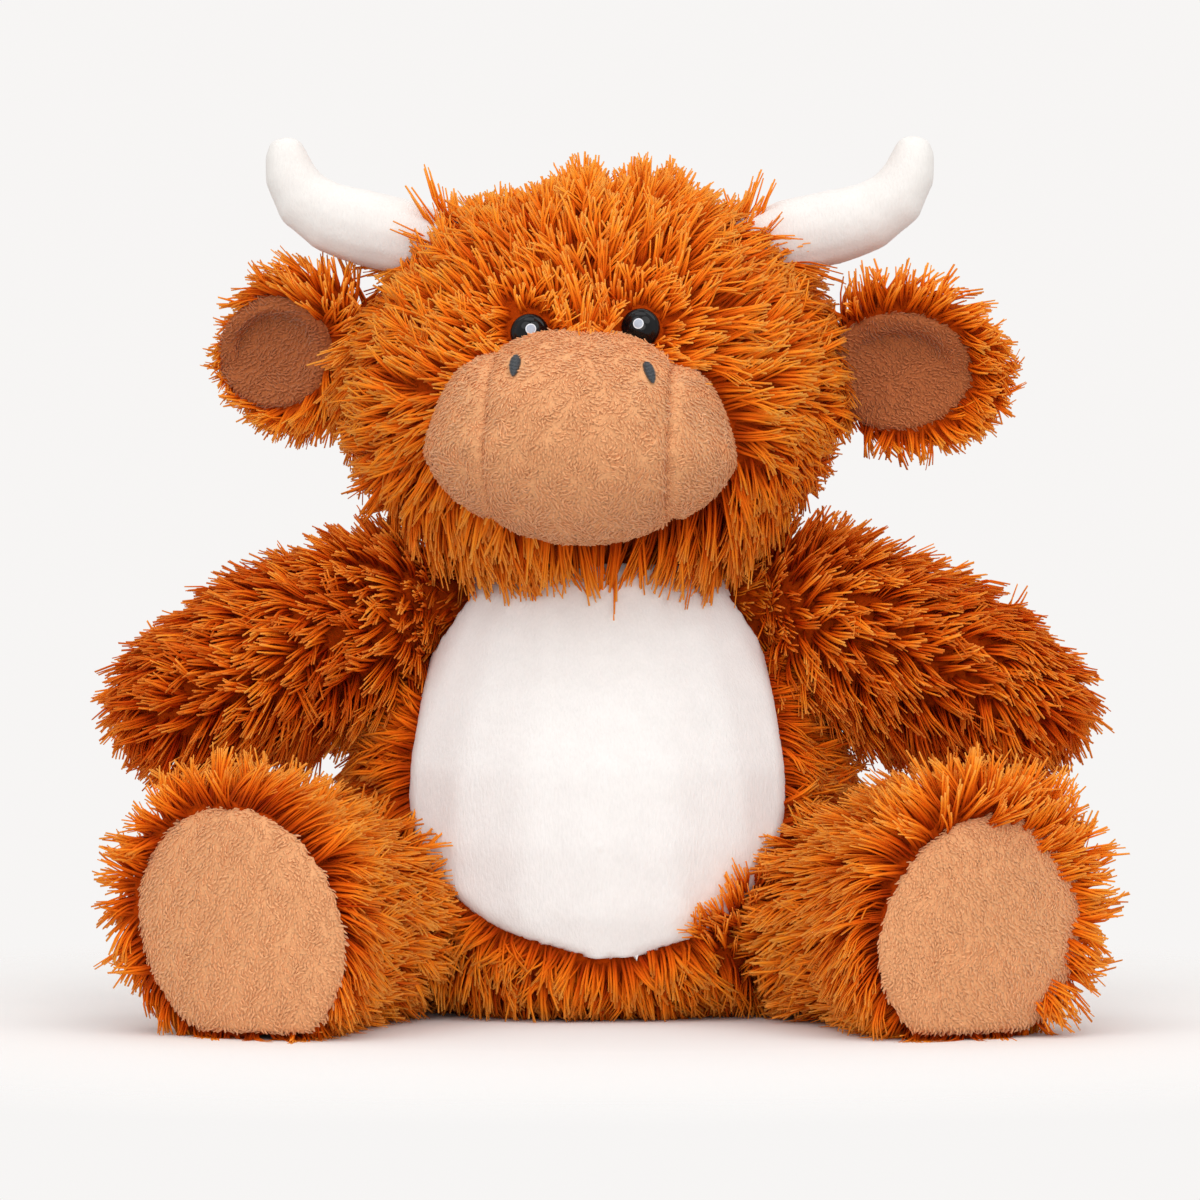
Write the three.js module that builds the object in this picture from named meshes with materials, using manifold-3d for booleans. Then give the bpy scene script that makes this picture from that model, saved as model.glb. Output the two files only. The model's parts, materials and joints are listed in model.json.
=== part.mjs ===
// A long-haired plush cow sitting with its legs towards -Y, in millimetres. It sits on the plane z = 0
// and its seat is centred on the origin. Left and right are the cow's own, so its right side is at -X.
import * as THREE from "three";
import { mergeVertices } from "three/addons/utils/BufferGeometryUtils.js";
import Module from "manifold-3d";

const wasm = await Module();
wasm.setup();

// Fabrics, and the play between pieces
const fur_wall = 3; // long-pile fabric with the dense foot of its pile
const minky_wall = 1.6;
const plush_wall = 1.8;
const seam_gap = 0.3;
const socket_play = 0.8; // between a limb's round root and the socket that it turns in
const hip_play = 1; // a leg's root lies a little looser
const neck_play = 1.2; // between the head and the neck's seam band
const flat_cut = 0.5; // how deep a soft form is flattened where the cow sits on it

// Trunk
const torso_width = 146;
const torso_depth = 120;
const torso_height = 156;
const torso_bluntness = 0.55;
const torso_girth_shares = [1.16, 1.15, 1.09, 1.03, 0.975, 0.88, 0.78, 0.7, 0.6];
const torso_lean = 5; // how far the belly leans forwards of the seat
const pellet_bag_height = 26;

// White belly panel: half widths up its height, as shares of its own half width
const belly_width = 117;
const belly_bottom = 20;
const belly_top = 141;
const belly_edge_depth = 22; // how far ahead of the trunk's middle the panel ends
const belly_outline_shares = [
  [0, 0],
  [0.42, 0.02],
  [0.8, 0.14],
  [1, 0.42],
  [0.93, 0.7],
  [0.74, 0.97],
  [0.66, 1],
  [0, 1],
];

// Neck
const neck_height = 138;
const neck_set_back = 4;
const neck_radius = 35;
const neck_band_wall = 2;
const neck_band_top_share = 0.8; // sine of the band's latitude at its top and its foot
const neck_band_foot_share = 0.3;

// Head
const head_width = 146;
const head_depth = 122;
const head_height = 114;
const head_rise = 65; // from the neck's centre to the head's centre
const head_forward = 10;
const head_turn = 4.5; // degrees, towards the cow's right
const head_bluntness = 0.9;
const head_girth_shares = [1.02, 1.09, 1.1, 1.06, 1, 0.95, 0.91, 0.9, 0.9];

// Muzzle
const muzzle_width = 95;
const muzzle_depth = 84;
const muzzle_height = 66;
const muzzle_drop = 20; // below the head's centre
const muzzle_forward = 54; // ahead of the head's centre
const muzzle_roll = 3; // degrees, lower on the cow's left
const muzzle_bluntness = 0.8;
const muzzle_girth_shares = [0.98, 1.03, 1.04, 1.02, 1, 0.97, 0.93, 0.9, 0.88];
const muzzle_seam_reach = 28; // from the muzzle's middle to each seam
const nostril_width = 4;
const nostril_height = 6.6;
const nostril_thickness = 1.6;
const nostril_spacing = 41;
const nostril_rise = 17; // above the muzzle's centre

// Safety eyes
const eye_diameter = 12;
const eye_bulge = 4.5;
const eye_spacing = 35.5;
const eye_rise = 12; // above the head's centre
const stem_diameter = 4;
const stem_length = 13;
const washer_diameter = 15;
const washer_thickness = 1.6;

// Horns
const horn_base_diameter = 24.5;
const horn_reach = 50; // sideways, from the base to the tip
const horn_lift = 37; // upwards, from the base to the tip
const horn_bluntness = 0.5;
const horn_girth_shares = [0.89, 0.94, 0.97, 0.96, 0.93, 0.9, 0.87, 0.84, 0.82];
const horn_path_shares = [
  [0, 0],
  [0.28, 0.15],
  [0.54, 0.25],
  [0.76, 0.36],
  [0.91, 0.53],
  [0.98, 0.76],
  [1, 1],
];
const horn_root_radius = 11;
const horn_seat_shares = [0.845, 0.01]; // up the head, and round it from its left
const horn_sink = -1; // the root stands a little proud of the head

// Ears
const ear_length = 56;
const ear_height = 50;
const ear_thickness = 13;
const ear_drops = { right: 4, left: 10 }; // how much lower the tip is than the root
const ear_swings = { right: -26, left: 6 }; // degrees forwards: the head's turn takes the right one back
const ear_bluntness = 0.75;
const ear_girth_shares = [0.24, 0.56, 0.84, 0.97, 1.01, 1.01, 0.98, 0.92, 0.88];
const ear_root_radius = 7;
const ear_seat_shares = { right: [0.585, 0.02], left: [0.55, 0.02] };
const ear_sink = -3; // the root stands a little proud of the head
const lining_share = 0.88; // of the ear's length and height
const lining_thickness = 5;
const lining_place_share = 0.56; // along the ear

// Arms
const arm_length = 94;
const arm_drop = 35; // how much lower the hand is than the shoulder
const arm_forward = 22;
const arm_diameter = 48;
const arm_height_share = 1.04;
const arm_lowering = 5; // degrees that an arm can be lowered
const arm_bluntness = 0.5;
const arm_girth_shares = [0.72, 0.86, 0.95, 0.99, 1, 0.99, 0.96, 0.92, 0.88];
const arm_path_shares = [
  [0, 0],
  [0.33, 0.56],
  [0.6, 0.73],
  [0.82, 0.93],
  [1, 1],
];
const shoulder_radius = 19;
const shoulder_seat_shares = [0.8, 0.0];
const shoulder_sink = -4; // the root stands a little proud of the trunk

// Legs
const leg_reaches = { right: 46, left: 49 }; // sideways, from the hip to the sole
const leg_forward = 76;
const foot_height = 88;
const foot_width = 76;
const foot_tilt = 35; // degrees that the foot's long way leans outwards
const leg_lift = 30; // degrees that a leg can be lifted
const leg_bluntness = 0.5;
const leg_girth_shares = [0.48, 0.54, 0.64, 0.76, 0.88, 0.97, 1.04, 1.1, 1.1];
const hip_radius = 22;
const hip_seat_shares = [0.215, 0.915];
const hip_sink = -3;
const sole_turn = 24; // degrees that the sole faces outwards
const sole_margin = 5; // of the foot's fur fabric left showing round the sole
const sole_drop = 5; // below the foot's middle
const sole_bulge = 8;
const foot_pellet_bag_depth = 24;

// Tail
const tail_diameter = 10;
const tail_root_radius = 6;
const tail_seat_shares = [0.42, 0.25];
const tail_sink = 2;
const tail_bluntness = 0.5;
const tail_girth_shares = [1, 1, 0.95, 0.9, 0.9];
const tuft_length = 28;
const tuft_diameter = 18;
const tuft_bluntness = 0.8;
const tuft_girth_shares = [0.8, 0.9, 1, 0.95, 0.6];
const tuft_clearance = 3; // to the trunk, and above the floor

const turning_hole_share = 0.4; // of a root's radius: the hole that a limb is turned and filled through
const overrun = 400; // how far a cutter passes the piece that it cuts

// Steps round and along the forms
const outline_steps = 3;
const trunk_sides = 20;
const trunk_rings = 12;
const limb_sides = 12;
const limb_rings = 8;
const root_rings = 2;
const small_sides = 10;
const small_rings = 8;
const socket_sides = 20;
const socket_rings = 10;
const full_turn = 2 * Math.PI;
const settling_rounds = 6;

const right = -1;
const left = 1;
const sides = [
  ["right", right],
  ["left", left],
];
const at = (x, y, z) => new THREE.Vector3(x, y, z);
const up = at(0, 0, 1);
const radians = THREE.MathUtils.degToRad;

const fabric = (name, color, roughness) =>
  new THREE.MeshStandardMaterial({ name, color, roughness, metalness: 0 });
const orange_fur = fabric("orange_fur", 0xc8661c, 0.95);
const tan_minky = fabric("tan_minky", 0xc98d5c, 0.9);
const white_plush = fabric("white_plush", 0xf4f2ee, 0.9);
const fibre_filling = fabric("fibre_filling", 0xf7f7f4, 1);
const pellet_bag = fabric("pellet_bag", 0xd9d4c8, 0.9);
const grey_thread = fabric("grey_thread", 0x3d4043, 0.7);
const black_plastic = fabric("black_plastic", 0x0c0c0e, 0.15);
const washer_plastic = fabric("washer_plastic", 0xe9e6de, 0.5);

// The value of a smooth curve through evenly spaced shares.
function between(shares, along) {
  const place = Math.min(Math.max(along, 0), 1) * (shares.length - 1);
  const i = Math.min(Math.floor(place), shares.length - 2);
  const pick = (n) => shares[Math.min(Math.max(n, 0), shares.length - 1)];
  const t = place - i;
  const slope_in = (pick(i + 1) - pick(i - 1)) / 2;
  const slope_out = (pick(i + 2) - pick(i)) / 2;
  const rise = pick(i + 1) - pick(i);
  const bend = 3 * rise - 2 * slope_in - slope_out;
  const twist = slope_in + slope_out - 2 * rise;
  return pick(i) + t * (slope_in + t * (bend + t * twist));
}

// A soft form: it swells and tapers along a path, and closes to a rounded end. Its other end closes
// alike, or is a round root about the path's first point. `across` is the way in which its width lies,
// and its depth is square to that and to the path.
function softForm({ path, across, width, depth, girth_shares, ...form }) {
  const { bluntness, root_radius, form_sides, form_rings } = form;
  const [first, second, ...others] = path;
  const curve = others.length ? new THREE.CatmullRomCurve3(path) : new THREE.LineCurve3(first, second);
  const onRing = (centre, tangent, wide, deep, round) => {
    const wide_way = across.clone().addScaledVector(tangent, -across.dot(tangent)).normalize();
    const deep_way = tangent.clone().cross(wide_way);
    const angle = round * full_turn;
    return centre
      .clone()
      .addScaledVector(wide_way, wide * Math.cos(angle))
      .addScaledVector(deep_way, deep * Math.sin(angle));
  };
  const point = (along, round) => {
    const near_end = root_radius ? Math.sqrt(1 - along * along) : 2 * Math.sqrt(along * (1 - along));
    const swell = (Math.pow(near_end, bluntness) * between(girth_shares, along)) / 2;
    return onRing(curve.getPointAt(along), curve.getTangentAt(along), swell * width, swell * depth, round);
  };
  // The surface moved inwards by `inset` along its own normals
  const shape = (inset) => {
    const start = curve.getPointAt(0);
    const inwards = curve.getTangentAt(0);
    const rings = [];
    const turns = Array.from({ length: form_sides }, (_, i) => i / form_sides);
    const ring = (spotAt) => rings.push(turns.map(spotAt));
    for (let i = 1; root_radius && i <= root_rings; i++) {
      const latitude = (i / root_rings) * (Math.PI / 2);
      const centre = start.clone().addScaledVector(inwards, -root_radius * Math.cos(latitude));
      const radius = root_radius * Math.sin(latitude);
      ring((round) => onRing(centre, inwards, radius, radius, round));
    }
    for (let i = 1; i < form_rings; i++) {
      const step = i / form_rings;
      const along = root_radius ? Math.sin((step * Math.PI) / 2) : (1 - Math.cos(step * Math.PI)) / 2;
      ring((round) => point(along, round));
    }
    const near_pole = start.addScaledVector(inwards, root_radius ? -root_radius : 0);
    return insetOf(closedRings(near_pole, rings, curve.getPointAt(1)), inset);
  };
  // A point on the surface with its outward normal: shares along the path and round it
  const seat = ([along, round]) => {
    const step = 1e-3;
    const spot = point(along, round);
    const forward = point(along + step, round).sub(spot);
    const sideways = point(along, round + step).sub(spot);
    return { spot, normal: sideways.cross(forward).normalize() };
  };
  return { curve, shape, seat };
}

// Rings of points joined into a closed skin between two poles
function closedRings(near_pole, rings, far_pole) {
  const count = rings[0].length;
  const last = rings.length - 1;
  const spots = [near_pole, ...rings.flat(), far_pole];
  const corner = (ring, i) => 1 + ring * count + (i % count);
  const faces = [];
  for (let i = 0; i < count; i++) {
    faces.push(0, corner(0, i + 1), corner(0, i));
    for (let ring = 0; ring < last; ring++) {
      faces.push(corner(ring, i), corner(ring, i + 1), corner(ring + 1, i + 1));
      faces.push(corner(ring, i), corner(ring + 1, i + 1), corner(ring + 1, i));
    }
    faces.push(spots.length - 1, corner(last, i), corner(last, i + 1));
  }
  const made = new THREE.BufferGeometry().setFromPoints(spots);
  made.setIndex(faces);
  return made;
}

// A closed geometry with its shared corners merged, and its surface moved inwards by `inset`.
function insetOf(geometry, inset) {
  geometry.deleteAttribute("uv");
  geometry.deleteAttribute("normal");
  const merged = mergeVertices(geometry, 1e-4);
  merged.computeVertexNormals();
  const place = merged.getAttribute("position");
  const normal = merged.getAttribute("normal");
  for (let i = 0; i < place.count; i++) {
    const spot = at(place.getX(i), place.getY(i), place.getZ(i));
    spot.addScaledVector(at(normal.getX(i), normal.getY(i), normal.getZ(i)), -inset);
    place.setXYZ(i, spot.x, spot.y, spot.z);
  }
  return merged;
}

// A solid from a closed geometry
function solid(geometry) {
  geometry.deleteAttribute("uv");
  geometry.deleteAttribute("normal");
  const merged = mergeVertices(geometry, 1e-4);
  const vertProperties = new Float32Array(merged.attributes.position.array);
  const triVerts = new Uint32Array(merged.index.array);
  return new wasm.Manifold(new wasm.Mesh({ numProp: 3, vertProperties, triVerts }));
}

// A named piece of one body: what a cut leaves over as a crumb is dropped.
function mesh(name, body, material) {
  const [largest] = body.decompose().sort((a, b) => b.volume() - a.volume());
  const made = largest.getMesh();
  const geometry = new THREE.BufferGeometry();
  geometry.setAttribute("position", new THREE.BufferAttribute(made.vertProperties.slice(), 3));
  geometry.setIndex(new THREE.BufferAttribute(made.triVerts.slice(), 1));
  const piece = new THREE.Mesh(geometry, material);
  piece.name = name;
  return piece;
}

const ball = (centre, radius, round = socket_sides, rings = socket_rings) =>
  solid(new THREE.SphereGeometry(radius, round, rings).rotateX(Math.PI / 2).translate(...centre.toArray()));

// A rod between two points.
function rod(from, to, radius, round = small_sides) {
  const along = to.clone().sub(from);
  const turned = new THREE.Quaternion().setFromUnitVectors(at(0, 1, 0), along.clone().normalize());
  const made = new THREE.CylinderGeometry(radius, radius, along.length(), round);
  return solid(made.applyQuaternion(turned).translate(...from.clone().add(to).divideScalar(2).toArray()));
}

// Everything on the far side of a plane, as a block that passes any piece.
function beyond(spot, normal) {
  const turned = new THREE.Quaternion().setFromUnitVectors(up, normal.clone().normalize());
  const block = new THREE.BoxGeometry(2 * overrun, 2 * overrun, overrun).translate(0, 0, overrun / 2);
  return solid(block.applyQuaternion(turned).translate(...spot.toArray()));
}

const floor = beyond(at(0, 0, 0), at(0, 0, -1));
const mirrored = (v, side) => at(side * v.x, v.y, v.z);

// Trunk form and the round roots that are let into it
const torso = softForm({
  path: [at(0, 0, -flat_cut), at(0, -torso_lean, torso_height / 2), at(0, 0, torso_height)],
  across: at(1, 0, 0),
  width: torso_width,
  depth: torso_depth,
  girth_shares: torso_girth_shares,
  bluntness: torso_bluntness,
  form_sides: trunk_sides,
  form_rings: trunk_rings,
});
const neck_centre = at(0, neck_set_back, neck_height);
const rootIn = (form, shares, sink) => {
  const { spot, normal } = form.seat(shares);
  return spot.addScaledVector(normal, -sink);
};
const shoulder = rootIn(torso, shoulder_seat_shares, shoulder_sink);
const hip = rootIn(torso, hip_seat_shares, hip_sink);
const tail_root = rootIn(torso, tail_seat_shares, tail_sink);

// The trunk with its neck, moved inwards by `inset`
const trunk = (inset) =>
  solid(torso.shape(inset)).add(ball(neck_centre, neck_radius - inset)).subtract(floor);

// The trunk's fabric and filling are open where the roots of the limbs and the tail are let into them.
function withTrunkSockets(body) {
  const small = ball(tail_root, tail_root_radius + socket_play, limb_sides, limb_rings);
  return sides.reduce(
    (kept, [, side]) =>
      kept
        .subtract(ball(mirrored(shoulder, side), shoulder_radius + socket_play))
        .subtract(ball(mirrored(hip, side), hip_radius + hip_play)),
    body.subtract(small),
  );
}

// A limb's form, drawn in where the trunk would meet it outside its socket when it is turned by `angle`
function limbBody({ limb, root, root_radius, lifting, angle }, inset) {
  const margin = seam_gap + inset;
  const turned = new THREE.Matrix4()
    .makeTranslation(root)
    .multiply(new THREE.Matrix4().makeRotationAxis(lifting, -radians(angle)))
    .multiply(new THREE.Matrix4().makeTranslation(root.clone().negate()));
  const room = ball(root, root_radius + socket_play - margin);
  const met = solid(torso.shape(-margin).applyMatrix4(turned)).subtract(room);
  return solid(limb.shape(inset)).subtract(met);
}

// The belly panel's outline, drawn in x and z and carried through the front of the trunk
function bellyCutter(margin) {
  const height = belly_top - belly_bottom;
  const edge = belly_outline_shares.map(([out, rise]) => [
    out * (belly_width / 2 + margin),
    belly_bottom - margin + rise * (height + 2 * margin),
  ]);
  const outline = new THREE.Shape();
  outline.moveTo(...edge[0]);
  outline.splineThru(edge.slice(1, -1).map(([x, z]) => new THREE.Vector2(x, z)));
  outline.lineTo(-edge[edge.length - 2][0], edge[edge.length - 2][1]);
  outline.splineThru(
    edge
      .slice(0, -2)
      .reverse()
      .map(([x, z]) => new THREE.Vector2(-x, z)),
  );
  const block = new THREE.ExtrudeGeometry(outline, {
    depth: overrun,
    bevelEnabled: false,
    curveSegments: outline_steps,
  });
  return solid(block.rotateX(Math.PI / 2).translate(0, margin - belly_edge_depth, 0));
}

const torsoGroup = new THREE.Group();
{
  const skin = withTrunkSockets(trunk(0).subtract(trunk(fur_wall)));
  const filling = withTrunkSockets(trunk(fur_wall + seam_gap));
  const bag_top = at(0, 0, pellet_bag_height);
  torsoGroup.add(mesh("torso_skin", skin.subtract(bellyCutter(seam_gap)), orange_fur));
  torsoGroup.add(mesh("belly_panel", skin.intersect(bellyCutter(0)), white_plush));
  torsoGroup.add(mesh("torso_stuffing", filling.intersect(beyond(bag_top, up)), fibre_filling));
  const under = beyond(bag_top.clone().addScaledVector(up, -seam_gap), up.clone().negate());
  torsoGroup.add(mesh("seat_pellet_bag", filling.intersect(under), pellet_bag));
}

// The neck's seam band: a ring of a sphere, over which the head turns and nods
const band_inner_radius = neck_radius + socket_play;
const band_outer_radius = band_inner_radius + neck_band_wall;
{
  const low = Math.asin(neck_band_foot_share);
  const high = Math.asin(neck_band_top_share);
  const steps = 5;
  const arc = (radius, from, to) =>
    Array.from({ length: steps + 1 }, (_, i) => {
      const latitude = from + ((to - from) * i) / steps;
      return new THREE.Vector2(radius * Math.cos(latitude), radius * Math.sin(latitude));
    });
  const profile = [...arc(band_outer_radius, low, high), ...arc(band_inner_radius, high, low)];
  const ring = new THREE.LatheGeometry([...profile, profile[0]], socket_sides).rotateX(Math.PI / 2);
  const band = solid(ring.translate(...neck_centre.toArray()));
  torsoGroup.add(mesh("neck_seam_band", band, orange_fur));
}

// Head, in coordinates from the neck's centre
const headGroup = new THREE.Group();
headGroup.position.copy(neck_centre);
headGroup.rotation.z = -radians(head_turn);
const head_centre = at(0, -head_forward, head_rise);
const head = softForm({
  path: [
    head_centre.clone().addScaledVector(up, -head_height / 2),
    head_centre.clone().addScaledVector(up, head_height / 2),
  ],
  across: at(1, 0, 0),
  width: head_width,
  depth: head_depth,
  girth_shares: head_girth_shares,
  bluntness: head_bluntness,
  form_sides: trunk_sides,
  form_rings: trunk_rings,
});
const horn_root = rootIn(head, horn_seat_shares, horn_sink);
const earRoot = (name, side) => mirrored(rootIn(head, ear_seat_shares[name], ear_sink), side);

// Where a line along +Y from the front meets a solid's surface, by halving
function frontOf(body, x, z) {
  let outside = -overrun;
  let inside = head_centre.y;
  const probe = ball(at(0, 0, 0), seam_gap, small_sides, small_rings);
  for (let i = 0; i < 24; i++) {
    const middle = (outside + inside) / 2;
    const clear = body.intersect(probe.translate([x, middle, z])).volume() === 0;
    outside = clear ? middle : outside;
    inside = clear ? inside : middle;
  }
  return at(x, inside, z);
}

const head_outer = solid(head.shape(0));
const eyes = sides.map(([name, side]) => {
  const face = frontOf(head_outer, (side * eye_spacing) / 2, head_centre.z + eye_rise);
  return { name, face };
});

// The head's fabric and filling are open where it sits on the neck, and at the roots of horns and ears.
function withHeadSockets(body) {
  return sides.reduce(
    (kept, [name, side]) =>
      kept
        .subtract(ball(mirrored(horn_root, side), horn_root_radius + socket_play, limb_sides, limb_rings))
        .subtract(ball(earRoot(name, side), ear_root_radius + socket_play, limb_sides, limb_rings)),
    body.subtract(ball(at(0, 0, 0), band_outer_radius + neck_play)),
  );
}

const behind = at(0, 1, 0);
{
  let skin = withHeadSockets(head_outer.subtract(solid(head.shape(fur_wall))));
  let filling = withHeadSockets(solid(head.shape(fur_wall + seam_gap)));
  for (const { name, face } of eyes) {
    const seen = face.clone().addScaledVector(behind, -seam_gap);
    const stem_end = face.clone().addScaledVector(behind, stem_length);
    const washer_seat = face.clone().addScaledVector(behind, fur_wall);
    const washer_near = washer_seat.clone().addScaledVector(behind, seam_gap);
    const washer_far = washer_near.clone().addScaledVector(behind, washer_thickness);
    const dome = solid(
      new THREE.SphereGeometry(1, limb_sides, limb_rings)
        .scale(eye_diameter / 2, eye_bulge, eye_diameter / 2)
        .translate(...seen.toArray()),
    ).subtract(beyond(seen, behind));
    const stem = rod(seen.clone().addScaledVector(behind, -eye_bulge / 2), stem_end, stem_diameter / 2);
    headGroup.add(mesh(`${name}_eye`, dome.add(stem), black_plastic));
    const washer = rod(washer_near, washer_far, washer_diameter / 2, limb_sides);
    const bore = rod(face, stem_end, stem_diameter / 2 + seam_gap);
    headGroup.add(mesh(`${name}_eye_washer`, washer.subtract(bore), washer_plastic));
    const front = face.clone().addScaledVector(behind, -eye_diameter);
    const hole = rod(front, stem_end, stem_diameter / 2 + seam_gap);
    skin = skin.subtract(hole);
    // The fabric and the filling are pressed flat for the dome and the washer.
    skin = skin.subtract(rod(front, face, eye_diameter / 2 + seam_gap, limb_sides));
    const pocket_end = washer_far.clone().addScaledVector(behind, seam_gap);
    const stem_room = stem_end.clone().addScaledVector(behind, seam_gap);
    filling = filling.subtract(rod(front, pocket_end, washer_diameter / 2 + seam_gap, limb_sides));
    filling = filling.subtract(rod(front, stem_room, stem_diameter / 2 + seam_gap));
    skin = skin.subtract(rod(washer_seat, stem_room, washer_diameter / 2 + seam_gap, limb_sides));
  }
  headGroup.add(mesh("head_skin", skin, orange_fur));
  headGroup.add(mesh("head_stuffing", filling, fibre_filling));
}

// Muzzle, a little askew on the face
const muzzle_centre = head_centre.clone().add(at(0, -muzzle_forward, -muzzle_drop));
const roll = new THREE.Quaternion().setFromAxisAngle(at(0, 1, 0), radians(muzzle_roll));
const rolled = (x, y, z) => at(x, y, z).applyQuaternion(roll);
const muzzle = softForm({
  path: [
    muzzle_centre.clone().addScaledVector(rolled(0, 0, 1), -muzzle_height / 2),
    muzzle_centre.clone().addScaledVector(rolled(0, 0, 1), muzzle_height / 2),
  ],
  across: rolled(1, 0, 0),
  width: muzzle_width,
  depth: muzzle_depth,
  girth_shares: muzzle_girth_shares,
  bluntness: muzzle_bluntness,
  form_sides: trunk_sides,
  form_rings: limb_rings,
});
{
  const face_cut = solid(head.shape(-seam_gap));
  // The eyes sit over the muzzle's top edge, and the muzzle is drawn in under them.
  const clear_of_eyes = eyes.map(({ face }) =>
    rod(
      face.clone().addScaledVector(behind, -eye_diameter),
      face.clone().addScaledVector(behind, stem_length),
      eye_diameter / 2 + seam_gap,
      limb_sides,
    ),
  );
  const fitted = (body) => clear_of_eyes.reduce((kept, eye) => kept.subtract(eye), body.subtract(face_cut));
  const skin = fitted(solid(muzzle.shape(0)).subtract(solid(muzzle.shape(minky_wall))));
  const seam = (side, margin) => {
    const spot = muzzle_centre.clone().add(rolled(side * (muzzle_seam_reach + margin), 0, 0));
    return beyond(spot, rolled(side, 0, 0));
  };
  const middle = skin.subtract(seam(left, 0)).subtract(seam(right, 0));
  headGroup.add(mesh("muzzle_centre_panel", middle, tan_minky));
  for (const [name, side] of sides)
    headGroup.add(mesh(`muzzle_${name}_panel`, skin.intersect(seam(side, seam_gap)), tan_minky));
  headGroup.add(mesh("muzzle_stuffing", fitted(solid(muzzle.shape(minky_wall + seam_gap))), fibre_filling));
  const clear_of_muzzle = solid(muzzle.shape(-seam_gap));
  const muzzle_outer = solid(muzzle.shape(0));
  for (const [name, side] of sides) {
    const place = muzzle_centre.clone().add(rolled((side * nostril_spacing) / 2, 0, nostril_rise));
    const spot = frontOf(muzzle_outer, place.x, place.z);
    const stitches = solid(
      new THREE.SphereGeometry(1, small_sides, small_rings)
        .scale(nostril_width / 2, nostril_thickness, nostril_height / 2)
        .applyQuaternion(roll)
        .translate(...spot.toArray()),
    );
    headGroup.add(mesh(`${name}_nostril`, stitches.subtract(clear_of_muzzle), grey_thread));
  }
}

// The hole in a limb's root, on the side away from the limb
function turningHole(form, root, radius) {
  const inwards = form.curve.getTangentAt(0).negate();
  return rod(root, root.clone().addScaledVector(inwards, radius * 2), radius * turning_hole_share);
}

// Horns
for (const [name, side] of sides) {
  const root = mirrored(horn_root, side);
  const bend = ([out, rise]) => root.clone().add(at(side * out * horn_reach, 0, rise * horn_lift));
  const horn = softForm({
    path: horn_path_shares.map(bend),
    across: at(0, 1, 0),
    width: horn_base_diameter,
    depth: horn_base_diameter,
    girth_shares: horn_girth_shares,
    bluntness: horn_bluntness,
    root_radius: horn_root_radius,
    form_sides: limb_sides,
    form_rings: limb_rings,
  });
  const skin = solid(horn.shape(0)).subtract(solid(horn.shape(plush_wall)));
  headGroup.add(mesh(`${name}_horn`, skin.subtract(turningHole(horn, root, horn_root_radius)), white_plush));
  headGroup.add(mesh(`${name}_horn_stuffing`, solid(horn.shape(plush_wall + seam_gap)), fibre_filling));
}

// Ears: a flat furry back with the lining let into its front
for (const [name, side] of sides) {
  const root = earRoot(name, side);
  const swing = radians(ear_swings[name]);
  const tip = at(side * ear_length * Math.cos(swing), -ear_length * Math.sin(swing), -ear_drops[name]);
  const outwards = (share) => root.clone().addScaledVector(tip, share);
  const ear = softForm({
    path: [outwards(0), outwards(1)],
    across: up,
    width: ear_height,
    depth: ear_thickness,
    girth_shares: ear_girth_shares,
    bluntness: ear_bluntness,
    root_radius: ear_root_radius,
    form_sides: limb_sides,
    form_rings: limb_rings,
  });
  const along = outwards(1).sub(outwards(0)).normalize();
  const front = along.clone().cross(up).multiplyScalar(side).normalize();
  const middle = outwards(lining_place_share);
  const basis = new THREE.Matrix4().makeBasis(along, front, along.clone().cross(front));
  const lens = (margin) =>
    solid(
      new THREE.SphereGeometry(1, limb_sides, small_rings)
        .rotateX(Math.PI / 2)
        .scale(
          (ear_length * lining_share) / 2 + margin,
          lining_thickness + margin,
          (ear_height * lining_share) / 2 + margin,
        )
        .applyMatrix4(basis)
        .translate(...middle.clone().addScaledVector(front, ear_thickness / 2).toArray()),
    );
  const body = solid(ear.shape(0));
  headGroup.add(mesh(`${name}_ear`, body.subtract(lens(seam_gap)), orange_fur));
  headGroup.add(mesh(`${name}_ear_lining`, lens(0).intersect(body), tan_minky));
}

// Arms
const armGroup = new THREE.Group();
for (const [name, side] of sides) {
  const root = mirrored(shoulder, side);
  const sagging = ([out, sag]) =>
    root.clone().add(at(side * out * arm_length, -out * sag * arm_forward, -out * sag * arm_drop));
  const limb = softForm({
    path: arm_path_shares.map(sagging),
    across: up,
    width: arm_diameter * arm_height_share,
    depth: arm_diameter,
    girth_shares: arm_girth_shares,
    bluntness: arm_bluntness,
    root_radius: shoulder_radius,
    form_sides: limb_sides,
    form_rings: limb_rings,
  });
  const lifting = at(0, -side, 0);
  const arm = { limb, root, root_radius: shoulder_radius, lifting, angle: -arm_lowering };
  const skin = limbBody(arm, 0).subtract(limbBody(arm, fur_wall));
  armGroup.add(mesh(`${name}_arm`, skin.subtract(turningHole(limb, root, shoulder_radius)), orange_fur));
  armGroup.add(mesh(`${name}_arm_stuffing`, limbBody(arm, fur_wall + seam_gap), fibre_filling));
}

// Legs: each foot is cut off square by its sole
const legGroup = new THREE.Group();
const tilt = radians(foot_tilt);
const turn = radians(sole_turn);

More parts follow.
